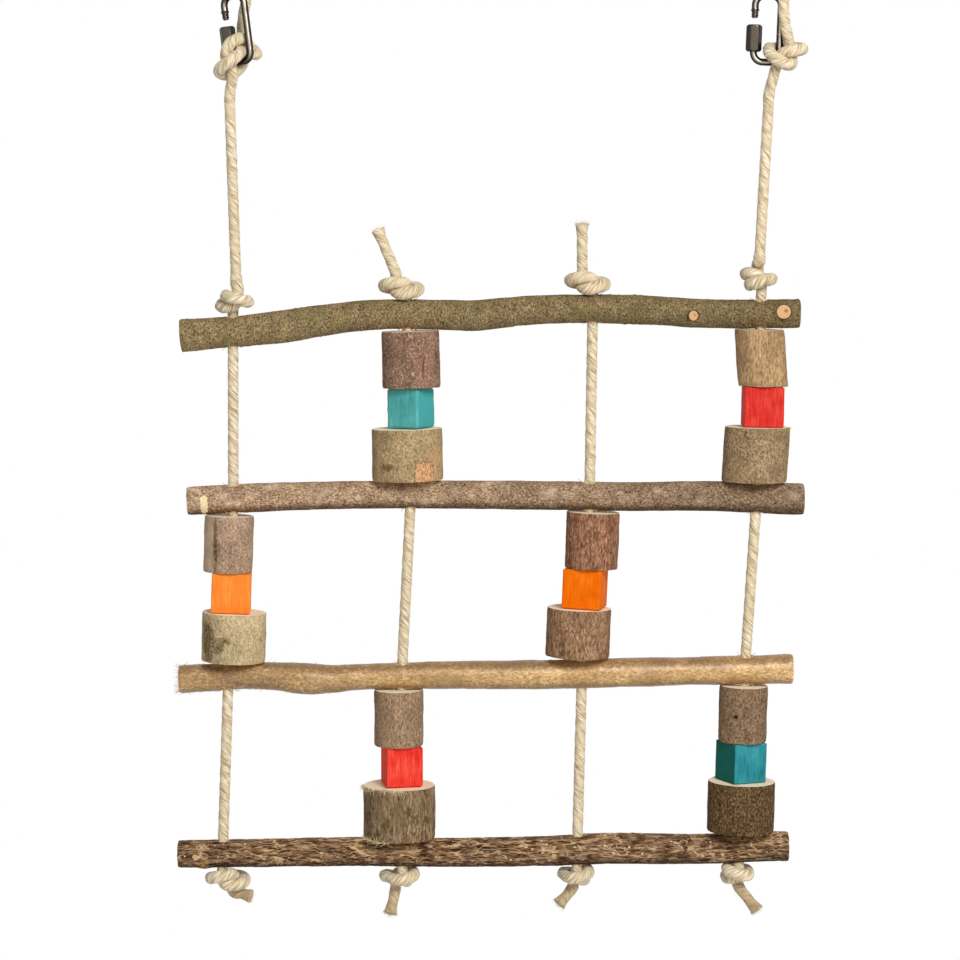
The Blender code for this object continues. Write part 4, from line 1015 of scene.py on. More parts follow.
def drilled(name, mesh, holes):  # the mesh with a rope hole along each line of a point and a direction
    bm = bmesh.new()
    for centre, way, depth in holes:
        turn = Vector((0, 0, 1)).rotation_difference(Vector(way)).to_matrix().to_4x4()
        bmesh.ops.create_cone(bm, cap_ends=True, segments=drilling["sides"], radius1=ropes["hole"] / 2,
                              radius2=ropes["hole"] / 2, depth=depth,
                              matrix=Matrix.Translation(centre) @ turn)
    bits = bpy.data.meshes.new("drill")
    bm.to_mesh(bits)
    bm.free()
    bits.materials.append(drilledWood)
    bits.shade_smooth()
    bits.set_sharp_from_angle(angle=math.radians(drilling["sharp"]))
    drill = linked("drill", bits)
    blank = linked(name, mesh)
    cut = blank.modifiers.new("drill", "BOOLEAN")
    cut.object = drill
    cut.operation = "DIFFERENCE"
    cut.solver = "MANIFOLD"
    cut.material_mode = "TRANSFER"
    done = settled(blank)
    bpy.data.objects.remove(drill)
    bpy.data.meshes.remove(bits)
    return done


def paintMarks(mesh, spots, look, values):  # patches as seen from the front, painted shade on the underside, and a darker top
    front = spots[:, 1] < 0.0
    for kind, x, z, wide, high, strength in look.get("marks", ()):
        power = 2 if kind in ("dot", "stainAndShade") else 4   # round, or square with rounded corners
        ratio = (np.abs((spots[:, 0] - x) / wide) ** power + np.abs((spots[:, 2] - z) / high) ** power)
        mask = strength * softStep(marking["fade"] - ratio ** (1 / power)) * front
        values[kind] = np.maximum(values[kind], mask)
    normals = np.empty(3 * len(spots), np.float32)
    mesh.vertices.foreach_get("normal", normals)
    upward = normals[2::3]
    # painted shade where faces look down, and darkening where they look up, both put into the stain
    # attribute
    start, span = marking["under"]
    under = look.get("under", 0.0) * softStep((start - upward) / span)
    start, span = marking["over"]
    over = look.get("over", 0.0) * softStep((upward - start) / span)
    values["stainAndShade"] = np.maximum(np.maximum(values["stainAndShade"], under), over)


def liftScars(spots, look, values):  # a flat sawn face with a swollen collar where a twig was pruned
    for centre, facing, radius in look.get("scars", ()):
        facing = np.array(facing) / np.linalg.norm(facing)
        off = spots - np.array(centre)
        rise = off @ facing
        flat = off - rise[:, None] * facing
        ratio = np.linalg.norm(flat, axis=1) / radius
        near = (ratio < marking["scarReach"]) & (rise > -radius)
        values["scar"] = np.where(near, np.minimum(values["scar"], ratio), values["scar"])
        pithAt = np.linalg.norm(flat - radius * np.array(marking["pith"]), axis=1) / radius
        pith = softStep(1.4 - 4.0 * pithAt)   # whole within a tenth of the radius
        values["pith"] = np.maximum(values["pith"], np.where(near, pith, 0.0))
        collar = softStep((marking["scarReach"] - ratio) / marking["collarWidth"]) * marking["collarLift"]
        lift = np.where(ratio < 1.0, marking["scarStand"] - rise, collar)
        spots += np.where(near, lift, 0.0)[:, None] * facing


def markBark(mesh, look, middle, across, holes=()):  # where the bark is bare, stained, dotted or pruned
    spots = places(mesh)
    values = {kind: np.zeros(len(spots)) for kind in ("bare", "stainAndShade", "dot", "pith", "smooth")}
    values["scar"] = np.full(len(spots), marking["noScar"])
    values["middle"] = np.tile(middle, (len(spots), 1))
    values["across"] = np.tile(across, (len(spots), 1))
    paintMarks(mesh, spots, look, values)
    liftScars(spots, look, values)
    for x, y, z, wide, high in look.get("bumps", ()):
        far = np.linalg.norm(spots - np.array((x, y, z)), axis=1) / wide
        out = np.array((y, z - middle[2]))
        spots[:, 1:] += np.outer(high * np.exp(-2.0 * far ** 2), out / np.linalg.norm(out))
    for centre, way, _ in holes:
        off = spots - np.array(centre)
        off = off - np.outer(off @ np.array(way), way)
        gap = np.linalg.norm(off, axis=1) - ropes["hole"] / 2
        fray = marking["frayShare"] * softStep(1.0 - gap / marking["frayWidth"])
        values["bare"] = np.maximum(values["bare"], fray)
    mesh.vertices.foreach_set("co", spots.astype(np.float32).ravel())
    for name, value in values.items():
        setValues(mesh, name, value)
    mesh.update()


# Rungs

alongZ = (1.0, 1.0, 0.35)   # patterns drawn out along a log
# broad, carve and pimple: height and width of a swell, a crack and a pimple
# marks: kind, x, z, half width, half height, strength; scars: middle, facing, radius
# bumps: x, y, z, width, height; shag: from x, to x, count
# under: strength of painted shade on a rung's underside; over: how much darker its top is
rungBarks = (
    {   # smooth olive bark of young hazel: short dark flecks round the branch, moss and two pruned twigs
        "shades": ("#54401f", "#77623f", "#8d7854", "#9c8763", "#b5a17c"),
        "mottle": 1.2, "contrast": 0.66, "tone": (1.08, 0.76), "draw": (1.4, 1.0, 1.0),
        "broad": (0.00025, 0.014), "carve": (0.0, 0.004), "pimple": (0.0004, 0.0022),
        "bump": 0.0007, "roughness": 0.85, "wood": ("#a37c4e", "#d2b083", "#efd6b0"),
        "flecks": (("#34240f", 1.6, 0.575, (2.2, 1.0, 1.0)), ("#b5a37d", 1.1, 0.64, (1.0, 1.0, 1.0))),
        "tints": (("#6f6a3c", 16.0, 0.50),), "crack": "#3a2914", "stainAndShade": "#463319",
        "scars": (((0.1592, -0.0081, -0.1748), (0.0, -1.0, 0.12), 0.0042),
                  ((0.1081, -0.0081, -0.1769), (0.45, -0.9, -0.05), 0.0030)),
    },
    {   # grey-brown bark with pale bloom, purplish patches and painted shade on its underside
        "shades": ("#56402b", "#755b43", "#8d7258", "#a0866c", "#bda58c"),
        "mottle": 1.0, "contrast": 0.70, "tone": (1.62, 0.86), "draw": (0.8, 1.0, 1.0), "under": 0.66,
        "broad": (0.00022, 0.016), "carve": (0.0, 0.004), "pimple": (0.0002, 0.0020),
        "bump": 0.0006, "roughness": 0.8, "wood": ("#ecca93", "#f6dba8", "#fcebc4"),
        "flecks": (("#46321f", 1.6, 0.63, (0.8, 1.0, 1.0)), ("#cbb7a2", 1.2, 0.66, (1.0, 1.0, 1.0))),
        "tints": (("#6a4a40", 22.0, 0.58), ("#c2ac95", 6.5, 0.53)), "crack": "#3f2b1d", "stainAndShade": "#48321f",
        "marks": (("bare", -0.1680, -0.2837, 0.0020, 0.0052, 1.0),),
    },
    {   # thin shiny tan bark, shaggy and brown towards one end, darker along its top, with painted shade on its underside
        "shades": ("#845f30", "#a37b47", "#b9935e", "#caa776", "#debd90"),
        "mottle": 1.0, "contrast": 0.86, "tone": (0.98, 1.24), "draw": (0.5, 1.0, 1.0), "under": 0.58,
        "over": 0.66, "shine": 0.5,
        "broad": (0.00030, 0.013), "carve": (0.0, 0.004), "pimple": (0.00025, 0.0018),
        "bump": 0.00012, "roughness": 0.34, "wood": ("#a37c4e", "#e6c79a", "#efd6b0"),
        "flecks": (("#7a5630", 1.3, 0.63, (0.8, 1.0, 1.0)),),
        "dots": (("#5c3a1a", 5.0, 0.55, 0.5),),
        "tints": (("#8a6a3e", 26.0, 0.50),), "crack": "#6a4a28", "stainAndShade": "#7a5a36",
        "shag": (-0.1835, -0.098, 240), "frayed": 60,
        "marks": (("stainAndShade", -0.145, -0.3835, 0.042, 0.02, 0.55),),
    },
    {   # dark bark with a pale net of cracks along the branch and round pale pores, and painted shade on its underside
        "shades": ("#2a180b", "#503620", "#72553b", "#8b6e53", "#b2936f"),
        "mottle": 1.5, "contrast": 0.56, "tone": (1.22, 1.08), "draw": (0.22, 1.0, 1.0), "under": 0.62,
        "broad": (0.00022, 0.013), "carve": (0.00025, 0.0040), "pimple": (0.0003, 0.0018),
        "bump": 0.0007, "roughness": 0.7, "wood": ("#6f4c28", "#93683a", "#b48a58"),
        "cracks": (("#2a180c", 3.8, 0.14, (0.10, 1.0, 1.0)), ("#cfac82", 3.0, 0.10, (0.14, 1.0, 1.0))),
        "dots": (("#e0cbaa", 4.2, 0.75, 0.6),),
        "tints": (("#2a1810", 24.0, 0.54),), "crack": "#7a5a3c", "stainAndShade": "#27150a",
        "bumps": ((-0.1697, -0.0042, -0.4905, 0.0052, 0.0016),),
        "marks": (("bare", -0.1697, -0.4895, 0.0034, 0.0030, 0.55),),
    },
)


def rungHoles(level):  # a middle, a direction and a depth for each rope's hole
    holes = []
    for rope in range(len(ropes["crossings"])):
        centre = crossing(rope, level)
        depth = drilling["through"] * 2 * rungAt(level, centre[0])[1]
        holes.append((centre, bayLine(rope, max(level - 1, 0)), depth))
    return holes


def rimSplinters(level, holes, rng):
    look = splinters["rim"]
    points, leans, reaches = [], [], []
    for centre, _, _ in holes:
        radius = rungAt(level, centre[0])[1]
        for up in (1, -1):
            for a in rng.uniform(0, 2 * math.pi, look["count"]):
                x, y = look["ring"] * ropes["hole"] * np.array((math.cos(a), math.sin(a)))
                points.append(centre + (x, y, up * math.sqrt(radius ** 2 - y ** 2)))
                leans.append((math.cos(a), math.sin(a), up * rng.uniform(*look["lift"])))
                reaches.append(rng.uniform(*look["reach"]))
    name = rungs["names"][level] + "_splinters"
    return sprout(name, points, leans, reaches, look, splinterWood, level)


def shaggyBark(level, bark, rng):  # loose strips along the bark, and a frayed end
    look = splinters["shag"]
    first, last, count = bark["shag"]
    points, leans, reaches = [], [], []
    for k in range(count + bark["frayed"]):
        x, a = rng.uniform(first, last), rng.uniform(0, 2 * math.pi)
        out = np.array((0.0, math.cos(a), math.sin(a)))
        way = np.array((rng.choice((-1.0, 1.0)), 0.0, 0.0))
        if k >= count:
            x, way = first, np.array((-1.0, 0.0, 0.0))
            out = out * rng.uniform(*look["inset"])
        height, radius = rungAt(level, x)
        points.append(np.array((x, 0.0, height)) + out * radius)
        leans.append(way + out * rng.uniform(*look["lift"]))
        reaches.append(rng.uniform(*look["reach"]))
    return sprout(rungs["names"][level] + "_shag", points, leans, reaches, look, splinterWood, 9)


def tornWood(level, look, holes):  # splinters round the holes, and shaggy bark where a look has it
    rng = np.random.default_rng(70 + level)
    objects = [rimSplinters(level, holes, rng)]
    if "shag" in look:
        objects.append(shaggyBark(level, look, rng))
    for obj in objects:
        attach(obj, rungs["bodies"][level])


def makeRung(level):
    look = dict(rungBarks[level], sides=rungs["sides"])
    middle, length = rungs["middles"][level], rungs["length"]
    xs = np.linspace(middle - length / 2, middle + length / 2, int(length / rungs["step"]))
    shape = np.array([rungAt(level, x) for x in xs])
    toEnd = length / 2 - np.abs(xs - middle)
    ease, along = rungs["rimEase"]
    radii = shape[:, 1] - ease * np.exp(-toEnd / along)
    line = np.stack((xs, np.zeros(len(xs)), shape[:, 0]), axis=1)
    name = rungs["names"][level]
    holes = rungHoles(level)
    mesh = drilled(name, branch(name, line, radii, look, 3 + level), holes)
    markBark(mesh, look, line[len(line) // 2], (0.0, 1.0, 1.0), holes)
    obj = linked(name + "_branch", mesh)
    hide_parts(name)
    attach(obj, rungs["bodies"][level])
    tornWood(level, look, holes)


# Beads

beads = {
    "upperHeight": 0.0320,
    "cubeHeight": 0.0225,
    "seatGap": 0.0003,
    "seatSamples": 15,
    "sides": 120,
    "step": 0.0008,
    "rimEase": (0.0004, 0.0006),   # how far a sawn rim is worn in, and along what length
    "cubeWear": 0.00008,
    "cubeCuts": 44,
    "deepSpan": (0.35, 0.3),       # how far a face looks aside where painted side shade starts, and its span
    "stacks": {   # bay and rope: dye, upper log and lower log (diameter, offset at top and foot), cube
        (0, 1): {"dye": "teal", "upper": (0.0328, 0.0016, 0.0016), "lower": (0.0402, -0.0016, -0.0016),
                 "cube": (0.0202, 0.0010, -28.0), "barks": ("reddish", "tanPatch")},
        (0, 3): {"dye": "red", "upper": (0.0282, -0.0007, 0.0023), "lower": (0.0372, -0.0004, -0.0018),
                 "cube": (0.0224, 0.0022, 0.0), "barks": ("tan", "greyTan")},
        (1, 0): {"dye": "orange", "upper": (0.0280, -0.0020, -0.0020), "lower": (0.0366, 0.0025, 0.0025),
                 "cube": (0.0222, 0.0004, 3.0), "barks": ("greySpeckled", "paleLichen")},
        (1, 2): {"dye": "amber", "upper": (0.0302, 0.0026, 0.0026), "lower": (0.0366, -0.0032, -0.0032),
                 "cube": (0.0222, -0.0004, -13.0), "barks": ("reddishRidged", "brownRidged")},
        (2, 1): {"dye": "scarlet", "upper": (0.0281, -0.0017, -0.0017), "lower": (0.0412, -0.0015, -0.0015),
                 "cube": (0.0211, 0.0, 11.0), "barks": ("greyFine", "greenishRidged")},
        (2, 3): {"dye": "petrol", "upper": (0.0275, -0.0003, -0.0003), "lower": (0.0385, 0.0002, 0.0002),
                 "cube": (0.0213, -0.0006, 27.0), "barks": ("tanKnotted", "darkMottled")},
    },
}
speckle = (1.0, 1.0, 0.7)
plainBark = {"mottle": 1.0, "contrast": 0.68, "draw": speckle, "broad": (0.00030, 0.012),
             "carve": (0.0, 0.004), "pimple": (0.0002, 0.0018), "bump": 0.0006, "roughness": 0.85,
             "wood": ("#a8764c", "#cc976b", "#dcae86"), "crack": "#3f2b1a", "stainAndShade": "#4b3821"}
plainFringe = (   # end, first and last degrees, count, reach
    ("top", 0, 360, 30, 0.0010), ("foot", 0, 360, 30, 0.0010))
logBarks = {
    "reddish": dict(plainBark, slot="reddish_log_bark",
                    shades=("#5f4230", "#77594a", "#876853", "#977763", "#ab8a75"),
                    flecks=(("#d9bd9f", 1.0, 0.61, speckle), ("#6a3a30", 6.0, 0.63, alongZ))),
    "tanPatch": dict(plainBark, slot="tan_log_bark", stainAndShade="#6a5430",
                     shades=("#7a603b", "#98805a", "#a88f69", "#b69c75", "#cbb18a"),
                     flecks=(("#6f5834", 1.6, 0.65, alongZ),), tints=(("#c39a68", 14.0, 0.52),),
                     fringe=(("foot", 200, 340, 50, 0.0018),),
                     marks=(("bare", -0.0432, -0.2672, 0.0050, 0.0078, 1.0),
                            ("stainAndShade", -0.0640, -0.2620, 0.0044, 0.0027, 0.66))),
    "tan": dict(plainBark, slot="tan_log_bark",
                draw=alongZ, shades=("#836541", "#9c7c56", "#ad8c64", "#ba9870", "#cdaa82"),
                flecks=(("#7d6040", 1.3, 0.64, alongZ), ("#5c4528", 1.5, 0.68, speckle))),
    "greyTan": dict(plainBark, slot="grey_log_bark",
                    shades=("#64502f", "#82694b", "#9b8060", "#aa8e6e", "#bda384"),
                    flecks=(("#634e34", 2.2, 0.63, speckle),), tints=(("#8a6f4c", 12.0, 0.52),),
                    fringe=(("top", 335, 352, 12, 0.0030),)),
    "greySpeckled": dict(plainBark, slot="grey_log_bark",
                         shades=("#80634c", "#9b7d64", "#aa8c73", "#b79980", "#cbad95"),
                         flecks=(("#7a5f4c", 1.2, 0.61, speckle), ("#d0b89f", 1.0, 0.62, speckle)),
                         marks=(("smooth", -0.1680, -0.3060, 0.0050, 0.020, 1.0),
                                ("stainAndShade", -0.1612, -0.3060, 0.0014, 0.020, 0.6))),
    "paleLichen": dict(plainBark, slot="tan_log_bark", stainAndShade="#4f3412",
                       shades=("#8f7751", "#b29b74", "#c0ab83", "#cbb58d", "#dcc69f"),
                       flecks=(("#8a734e", 1.3, 0.62, speckle),),
                       marks=(("stainAndShade", -0.1658, -0.3610, 0.0042, 0.0160, 0.62),
                              ("stainAndShade", -0.1612, -0.3640, 0.0060, 0.0060, 0.58),
                              ("stainAndShade", -0.1568, -0.3605, 0.0060, 0.0028, 0.56))),
    "reddishRidged": dict(plainBark, slot="reddish_log_bark", carve=(0.0002, 0.0030),
                          cracks=(("#64402a", 1.5, 0.18, (1.0, 1.0, 0.2)),),
                          shades=("#6b4128", "#885d42", "#9a6e53", "#a97d63", "#bd9279"),
                          flecks=(("#cfa488", 1.0, 0.63, speckle),), draw=(1.0, 1.0, 0.26)),
    "brownRidged": dict(plainBark, slot="dark_log_bark", carve=(0.0002, 0.0026),
                        cracks=(("#664c34", 1.3, 0.17, (1.0, 1.0, 0.18)),),
                        shades=("#694a30", "#86664a", "#987557", "#a68163", "#bc9676"),
                        flecks=(("#c3a286", 1.0, 0.63, speckle),), draw=(1.0, 1.0, 0.28), mottle=0.8),
    "greyFine": dict(plainBark, slot="grey_log_bark",
                     shades=("#6d5339", "#866b51", "#94785d", "#a3866b", "#b99c81"),
                     flecks=(("#c9b096", 0.9, 0.63, alongZ),), draw=(1.0, 1.0, 0.4), mottle=0.8),
    "greenishRidged": dict(plainBark, slot="grey_log_bark", carve=(0.0003, 0.0030),
                           cracks=(("#574529", 2.0, 0.16, (1.0, 1.0, 0.12)),),
                           shades=("#5c4829", "#7c6446", "#8f7658", "#9c8265", "#b09679"),
                           flecks=(("#6a5a3c", 1.8, 0.65, alongZ),), draw=(1.0, 1.0, 0.2),
                           tints=(("#7d6a4a", 14.0, 0.54),),
                           fringe=(("top", 175, 285, 130, 0.0042), ("foot", 190, 255, 80, 0.0042))),
    "tanKnotted": dict(plainBark, slot="reddish_log_bark",
                       shades=("#553c26", "#6f553d", "#826850", "#90765d", "#a58b71"),
                       flecks=(("#6b5038", 1.2, 0.62, speckle), ("#b99f85", 1.0, 0.63, speckle)),
                       marks=(("dot", 0.1336, -0.4043, 0.0011, 0.0014, 1.0),)),
    "darkMottled": dict(plainBark, slot="dark_log_bark",
                        shades=("#2f1d08", "#48331a", "#5b442a", "#6e563b", "#8e7757"),
                        flecks=(("#a08963", 1.2, 0.63, speckle), ("#33210e", 2.2, 0.62, speckle))),
}


def seat(rope, bay, level, reach):  # distance down a bay's line to a bead's seat on a rung
    start, line = crossing(rope, bay), bayLine(rope, bay)
    below = level == bay
    marks = []
    for x in np.linspace(-reach, reach, beads["seatSamples"]) + ropes["crossings"][rope][level]:
        height, radius = rungAt(level, x)
        face = np.array((x, 0.0, height - radius if below else height + radius))
        marks.append(float((face - start) @ line))
    return max(marks) + beads["seatGap"] if below else min(marks) - beads["seatGap"]


def upright(line):  # a bead's frame: Z up along its rope
    return Vector((0, 0, 1)).rotation_difference(-Vector(line)).to_matrix().to_4x4()


def fringe(name, bark, size, height, matrix, seed):  # torn fibres on a log's sawn rims
    rng = np.random.default_rng(seed)
    look = splinters["fringe"]
    points, leans, reaches = [], [], []
    turn = matrix.to_3x3()
    for end, first, last, count, reach in plainFringe + bark.get("fringe", ()):
        up, offset = (1, size[1]) if end == "top" else (-1, size[2])
        for a in np.radians(rng.uniform(first, last, count)):
            out = Vector((math.cos(a), math.sin(a), 0.0))
            past = Vector((-math.sin(a), math.cos(a), 0.0))
            points.append(matrix @ (out * look["ring"] * size[0] + Vector((offset, 0.0, up * height / 2))))
            fall = Vector((0.0, 0.0, -up * rng.uniform(*look["fall"])))
            leans.append(turn @ (out * rng.uniform(*look["out"]) + past * rng.uniform(*look["past"]) + fall))
            reaches.append(reach * rng.uniform(*look["reach"]))
    return sprout(name + "_fringe", points, leans, reaches, look, splinterWood, seed)


def makeLog(name, body, size, height, place, line, bark, seed):
    look = dict(logBarks[bark], sides=beads["sides"])
    width, topOffset, footOffset = size
    zs = np.linspace(-height / 2, height / 2, int(height / beads["step"]))
    toEnd = height / 2 - np.abs(zs)
    ease, along = beads["rimEase"]
    radii = width / 2 - ease * np.exp(-toEnd / along)
    axis = np.stack((np.zeros(len(zs)), np.zeros(len(zs)), zs), axis=1)
    mesh = branch(name, axis, radii, look, seed)
    spots = places(mesh)
    share = spots[:, 2] / height + 0.5
    spots[:, 0] += footOffset + (topOffset - footOffset) * share
    spots[:, 2] = np.clip(spots[:, 2], -height / 2, height / 2)
    mesh.vertices.foreach_set("co", spots.astype(np.float32).ravel())
    mesh = drilled(name, mesh, [((0.0, 0.0, 0.0), (0.0, 0.0, 1.0), drilling["through"] * height)])
    matrix = Matrix.Translation(place) @ upright(line)
    mesh.transform(matrix)
    middle = matrix @ Vector(((topOffset + footOffset) / 2, 0.0, 0.0))
    markBark(mesh, look, middle, (1.0, 1.0, 0.0))
    obj = linked(name + "_bark", mesh)
    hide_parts(name)
    for part in (obj, fringe(name, look, size, height, matrix, seed)):
        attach(part, body)


dyes = {   # shades from deep to worn, mm of edge rounding, and the side (+1 right, -1 left) painted in a darker shade, with its colour
    "teal": {"shades": ("#3a8a88", "#4fa29f", "#54aaa8", "#6ab9b7"), "round": 1.7, "slot": "teal_dye",
             "deep": (1.0, "#44a2a1")},
    "petrol": {"shades": ("#1d6a73", "#2c848c", "#348c94", "#479ca3"), "round": 0.6, "slot": "petrol_dye",
               "deep": (-1.0, "#0c5b4d")},
    "red": {"shades": ("#b81417", "#cc2c27", "#d43b30", "#e25444"), "round": 0.5, "slot": "red_dye"},
    "scarlet": {"shades": ("#c81711", "#e13428", "#ea4436", "#f26352"), "round": 1.1, "slot": "scarlet_dye",
                "deep": (-1.0, "#e13927")},
    "orange": {"shades": ("#ea7520", "#f3842e", "#f48933", "#f99b48"), "round": 0.5, "slot": "orange_dye"},
    "amber": {"shades": ("#d15600", "#e76800", "#eb6e02", "#f4841a"), "round": 0.9, "slot": "amber_dye"},
}


def dyeMaterial(name, look):  # water-dyed beech: the grain shows through as fine upright streaks
    material, tree, shader, place = newMaterial(name + " dyed beech")
    lie = addNode(tree, "ShaderNodeMapping", {"Vector": place, "Scale": (1.0, 1.0, 0.12)})
    grain = addNode(tree, "ShaderNodeTexNoise", {"Vector": lie, "Scale": perMetre(1.2), "Detail": 5.0})
    soak = addNode(tree, "ShaderNodeTexNoise", {"Vector": place, "Scale": perMetre(10.0), "Detail": 4.0})
    both = addNode(tree, "ShaderNodeMath", {0: grain, 1: soak}, operation="ADD")
    half = addNode(tree, "ShaderNodeMath", {0: both, 1: 0.5}, operation="MULTIPLY")
    colour = addNode(tree, "ShaderNodeValToRGB", {0: half}, stops=tuple(
        zip((0.32, 0.45, 0.54, 0.68), look["shades"])))
    pores = addNode(tree, "ShaderNodeMapping", {"Vector": place, "Scale": (1.0, 1.0, 0.2)})
    pores = addNode(tree, "ShaderNodeTexNoise", {"Vector": pores, "Scale": perMetre(0.8)})
    mask = addNode(tree, "ShaderNodeMapRange", {"Value": pores, "From Min": 0.64, "From Max": 0.72,
                                                "To Max": 0.5})
    final = addNode(tree, "ShaderNodeMix", {0: mask, 6: colour, 7: linear(look["shades"][0])},
                    data_type="RGBA")
    # painted shade on the faces that look to one side, a little weaker where the grain is paler
    if "deep" in look:
        deep = addNode(tree, "ShaderNodeAttribute", attribute_name="deep").outputs["Fac"]
        sideShadeEase = addNode(tree, "ShaderNodeMapRange", {"Value": half, "From Min": 0.3, "From Max": 0.45,
                                                   "To Min": 1.0, "To Max": 0.9})
        deep = addNode(tree, "ShaderNodeMath", {0: deep, 1: sideShadeEase}, operation="MULTIPLY")
        final = addNode(tree, "ShaderNodeMix", {0: deep, 6: final, 7: linear(look["deep"][1])},
                        data_type="RGBA")
    bump = addNode(tree, "ShaderNodeBump", {"Height": half, "Strength": 0.5, "Distance": 0.0004})
    setInputs(tree, shader, {"Base Color": final, "Normal": bump, "Roughness": 0.62,
                             "Specular IOR Level": 0.06})
    return material


def makeBlockTree():  # a block whose edges are eased unevenly by wear
    tree, given = newTree("wornBlock", Size=("Vector", (0.02, 0.02, 0.02)), Round=("Float", 0.001),
                          Wear=("Float", 0.0002), Seed=("Float", 0.0), Cuts=("Int", 44),
                          Material=("Material", None))
    block = addNode(tree, "GeometryNodeMeshCube", {
        "Size": given["Size"], "Vertices X": given["Cuts"], "Vertices Y": given["Cuts"],
        "Vertices Z": given["Cuts"]})
    place = addNode(tree, "GeometryNodeInputPosition")
    noise = addNode(tree, "ShaderNodeTexNoise", {
        "Vector": place, "W": given["Seed"], "Scale": perMetre(6.0), "Detail": 3.0}, noise_dimensions="4D")
    vary = addNode(tree, "ShaderNodeMapRange", {"Value": noise, "From Min": 0.3, "From Max": 0.7,
                                                "To Min": 0.5, "To Max": 1.5})
    ease = addNode(tree, "ShaderNodeMath", {0: vary, 1: given["Round"]}, operation="MULTIPLY")
    half = addNode(tree, "ShaderNodeVectorMath", {0: given["Size"], "Scale": 0.5}, operation="SCALE")
    inner = addNode(tree, "ShaderNodeVectorMath", {0: half, 1: ease}, operation="SUBTRACT")
    outer = addNode(tree, "ShaderNodeVectorMath", {0: inner, "Scale": -1.0}, operation="SCALE")
    core = addNode(tree, "ShaderNodeVectorMath", {0: place, 1: inner}, operation="MINIMUM")
    core = addNode(tree, "ShaderNodeVectorMath", {0: core, 1: outer}, operation="MAXIMUM")
    way = addNode(tree, "ShaderNodeVectorMath", {0: place, 1: core}, operation="SUBTRACT")
    way = addNode(tree, "ShaderNodeVectorMath", {0: way}, operation="NORMALIZE")
    dent = addNode(tree, "ShaderNodeMapRange", {"Value": noise, "To Min": -2.0, "To Max": 2.0})
    dent = addNode(tree, "ShaderNodeMath", {0: dent, 1: given["Wear"], 2: ease}, operation="MULTIPLY_ADD")
    skin = addNode(tree, "ShaderNodeVectorMath", {0: way, "Scale": dent}, operation="SCALE")
    spot = addNode(tree, "ShaderNodeVectorMath", {0: core, 1: skin}, operation="ADD")
    eased = addNode(tree, "GeometryNodeSetPosition", {"Geometry": block.outputs["Mesh"], "Position": spot})
    welded = addNode(tree, "GeometryNodeMergeByDistance", {"Geometry": eased, "Distance": 0.000005})
    smooth = addNode(tree, "GeometryNodeSetShadeSmooth", {"Geometry": welded})
    closeTree(tree, smooth, given["Material"])
    return tree


blockTree = makeBlockTree()


def makeCube(name, body, cube, dye, place, line, seed):
    look = dyes[dye]
    side, offset, turn = cube
    mesh = grown(name, bpy.data.meshes.new("start"), blockTree, Size=(side, side, beads["cubeHeight"]),
                 Round=look["round"] / 1000, Wear=beads["cubeWear"], Seed=float(seed),
                 Cuts=beads["cubeCuts"], Material=dyeMaterial(dye, look))
    spin = Matrix.Rotation(math.radians(turn), 4, "Z")
    mesh.transform(Matrix.Translation((offset, 0.0, 0.0)) @ spin)
    depth = drilling["through"] * beads["cubeHeight"]
    mesh = drilled(name, mesh, [((0.0, 0.0, 0.0), (0.0, 0.0, 1.0), depth)])
    mesh.transform(Matrix.Translation(place) @ upright(line))
    # painted shade on the faces that look to the dye's side, read off their normals
    if "deep" in look:
        normals = np.empty(3 * len(mesh.vertices), np.float32)
        mesh.vertices.foreach_get("normal", normals)
        start, span = beads["deepSpan"]
        setValues(mesh, "deep", softStep((look["deep"][0] * normals[0::3] - start) / span))
    obj = linked(name + "_dyed", mesh)
    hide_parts(name)
    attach(obj, body)


def makeStack(bay, rope, seed):
    stack = beads["stacks"][(bay, rope)]
    start, line = crossing(rope, bay), bayLine(rope, bay)
    upper, cube, lower = stack["upper"], stack["cube"], stack["lower"]
    top = seat(rope, bay, bay, upper[0] / 2 + abs(upper[1]))
    foot = seat(rope, bay, bay + 1, lower[0] / 2 + abs(lower[2]))
    cubeTop = top + beads["upperHeight"] + beads["seatGap"]
    lowerTop = cubeTop + beads["cubeHeight"] + beads["seatGap"]
    name = f"bay{bay + 1}_rope{rope + 1}_"
    makeLog(name + "upper_log", name + "upper_bead", upper, beads["upperHeight"],
            Vector(start + line * (top + beads["upperHeight"] / 2)), line, stack["barks"][0], seed)
    makeCube(name + stack["dye"] + "_cube", name + "cube_bead", cube, stack["dye"],
             Vector(start + line * (cubeTop + beads["cubeHeight"] / 2)), line, seed + 1)
    makeLog(name + "lower_log", name + "lower_bead", lower, foot - lowerTop,
            Vector(start + line * (foot + lowerTop) / 2), line, stack["barks"][1], seed + 2)


# Quick links

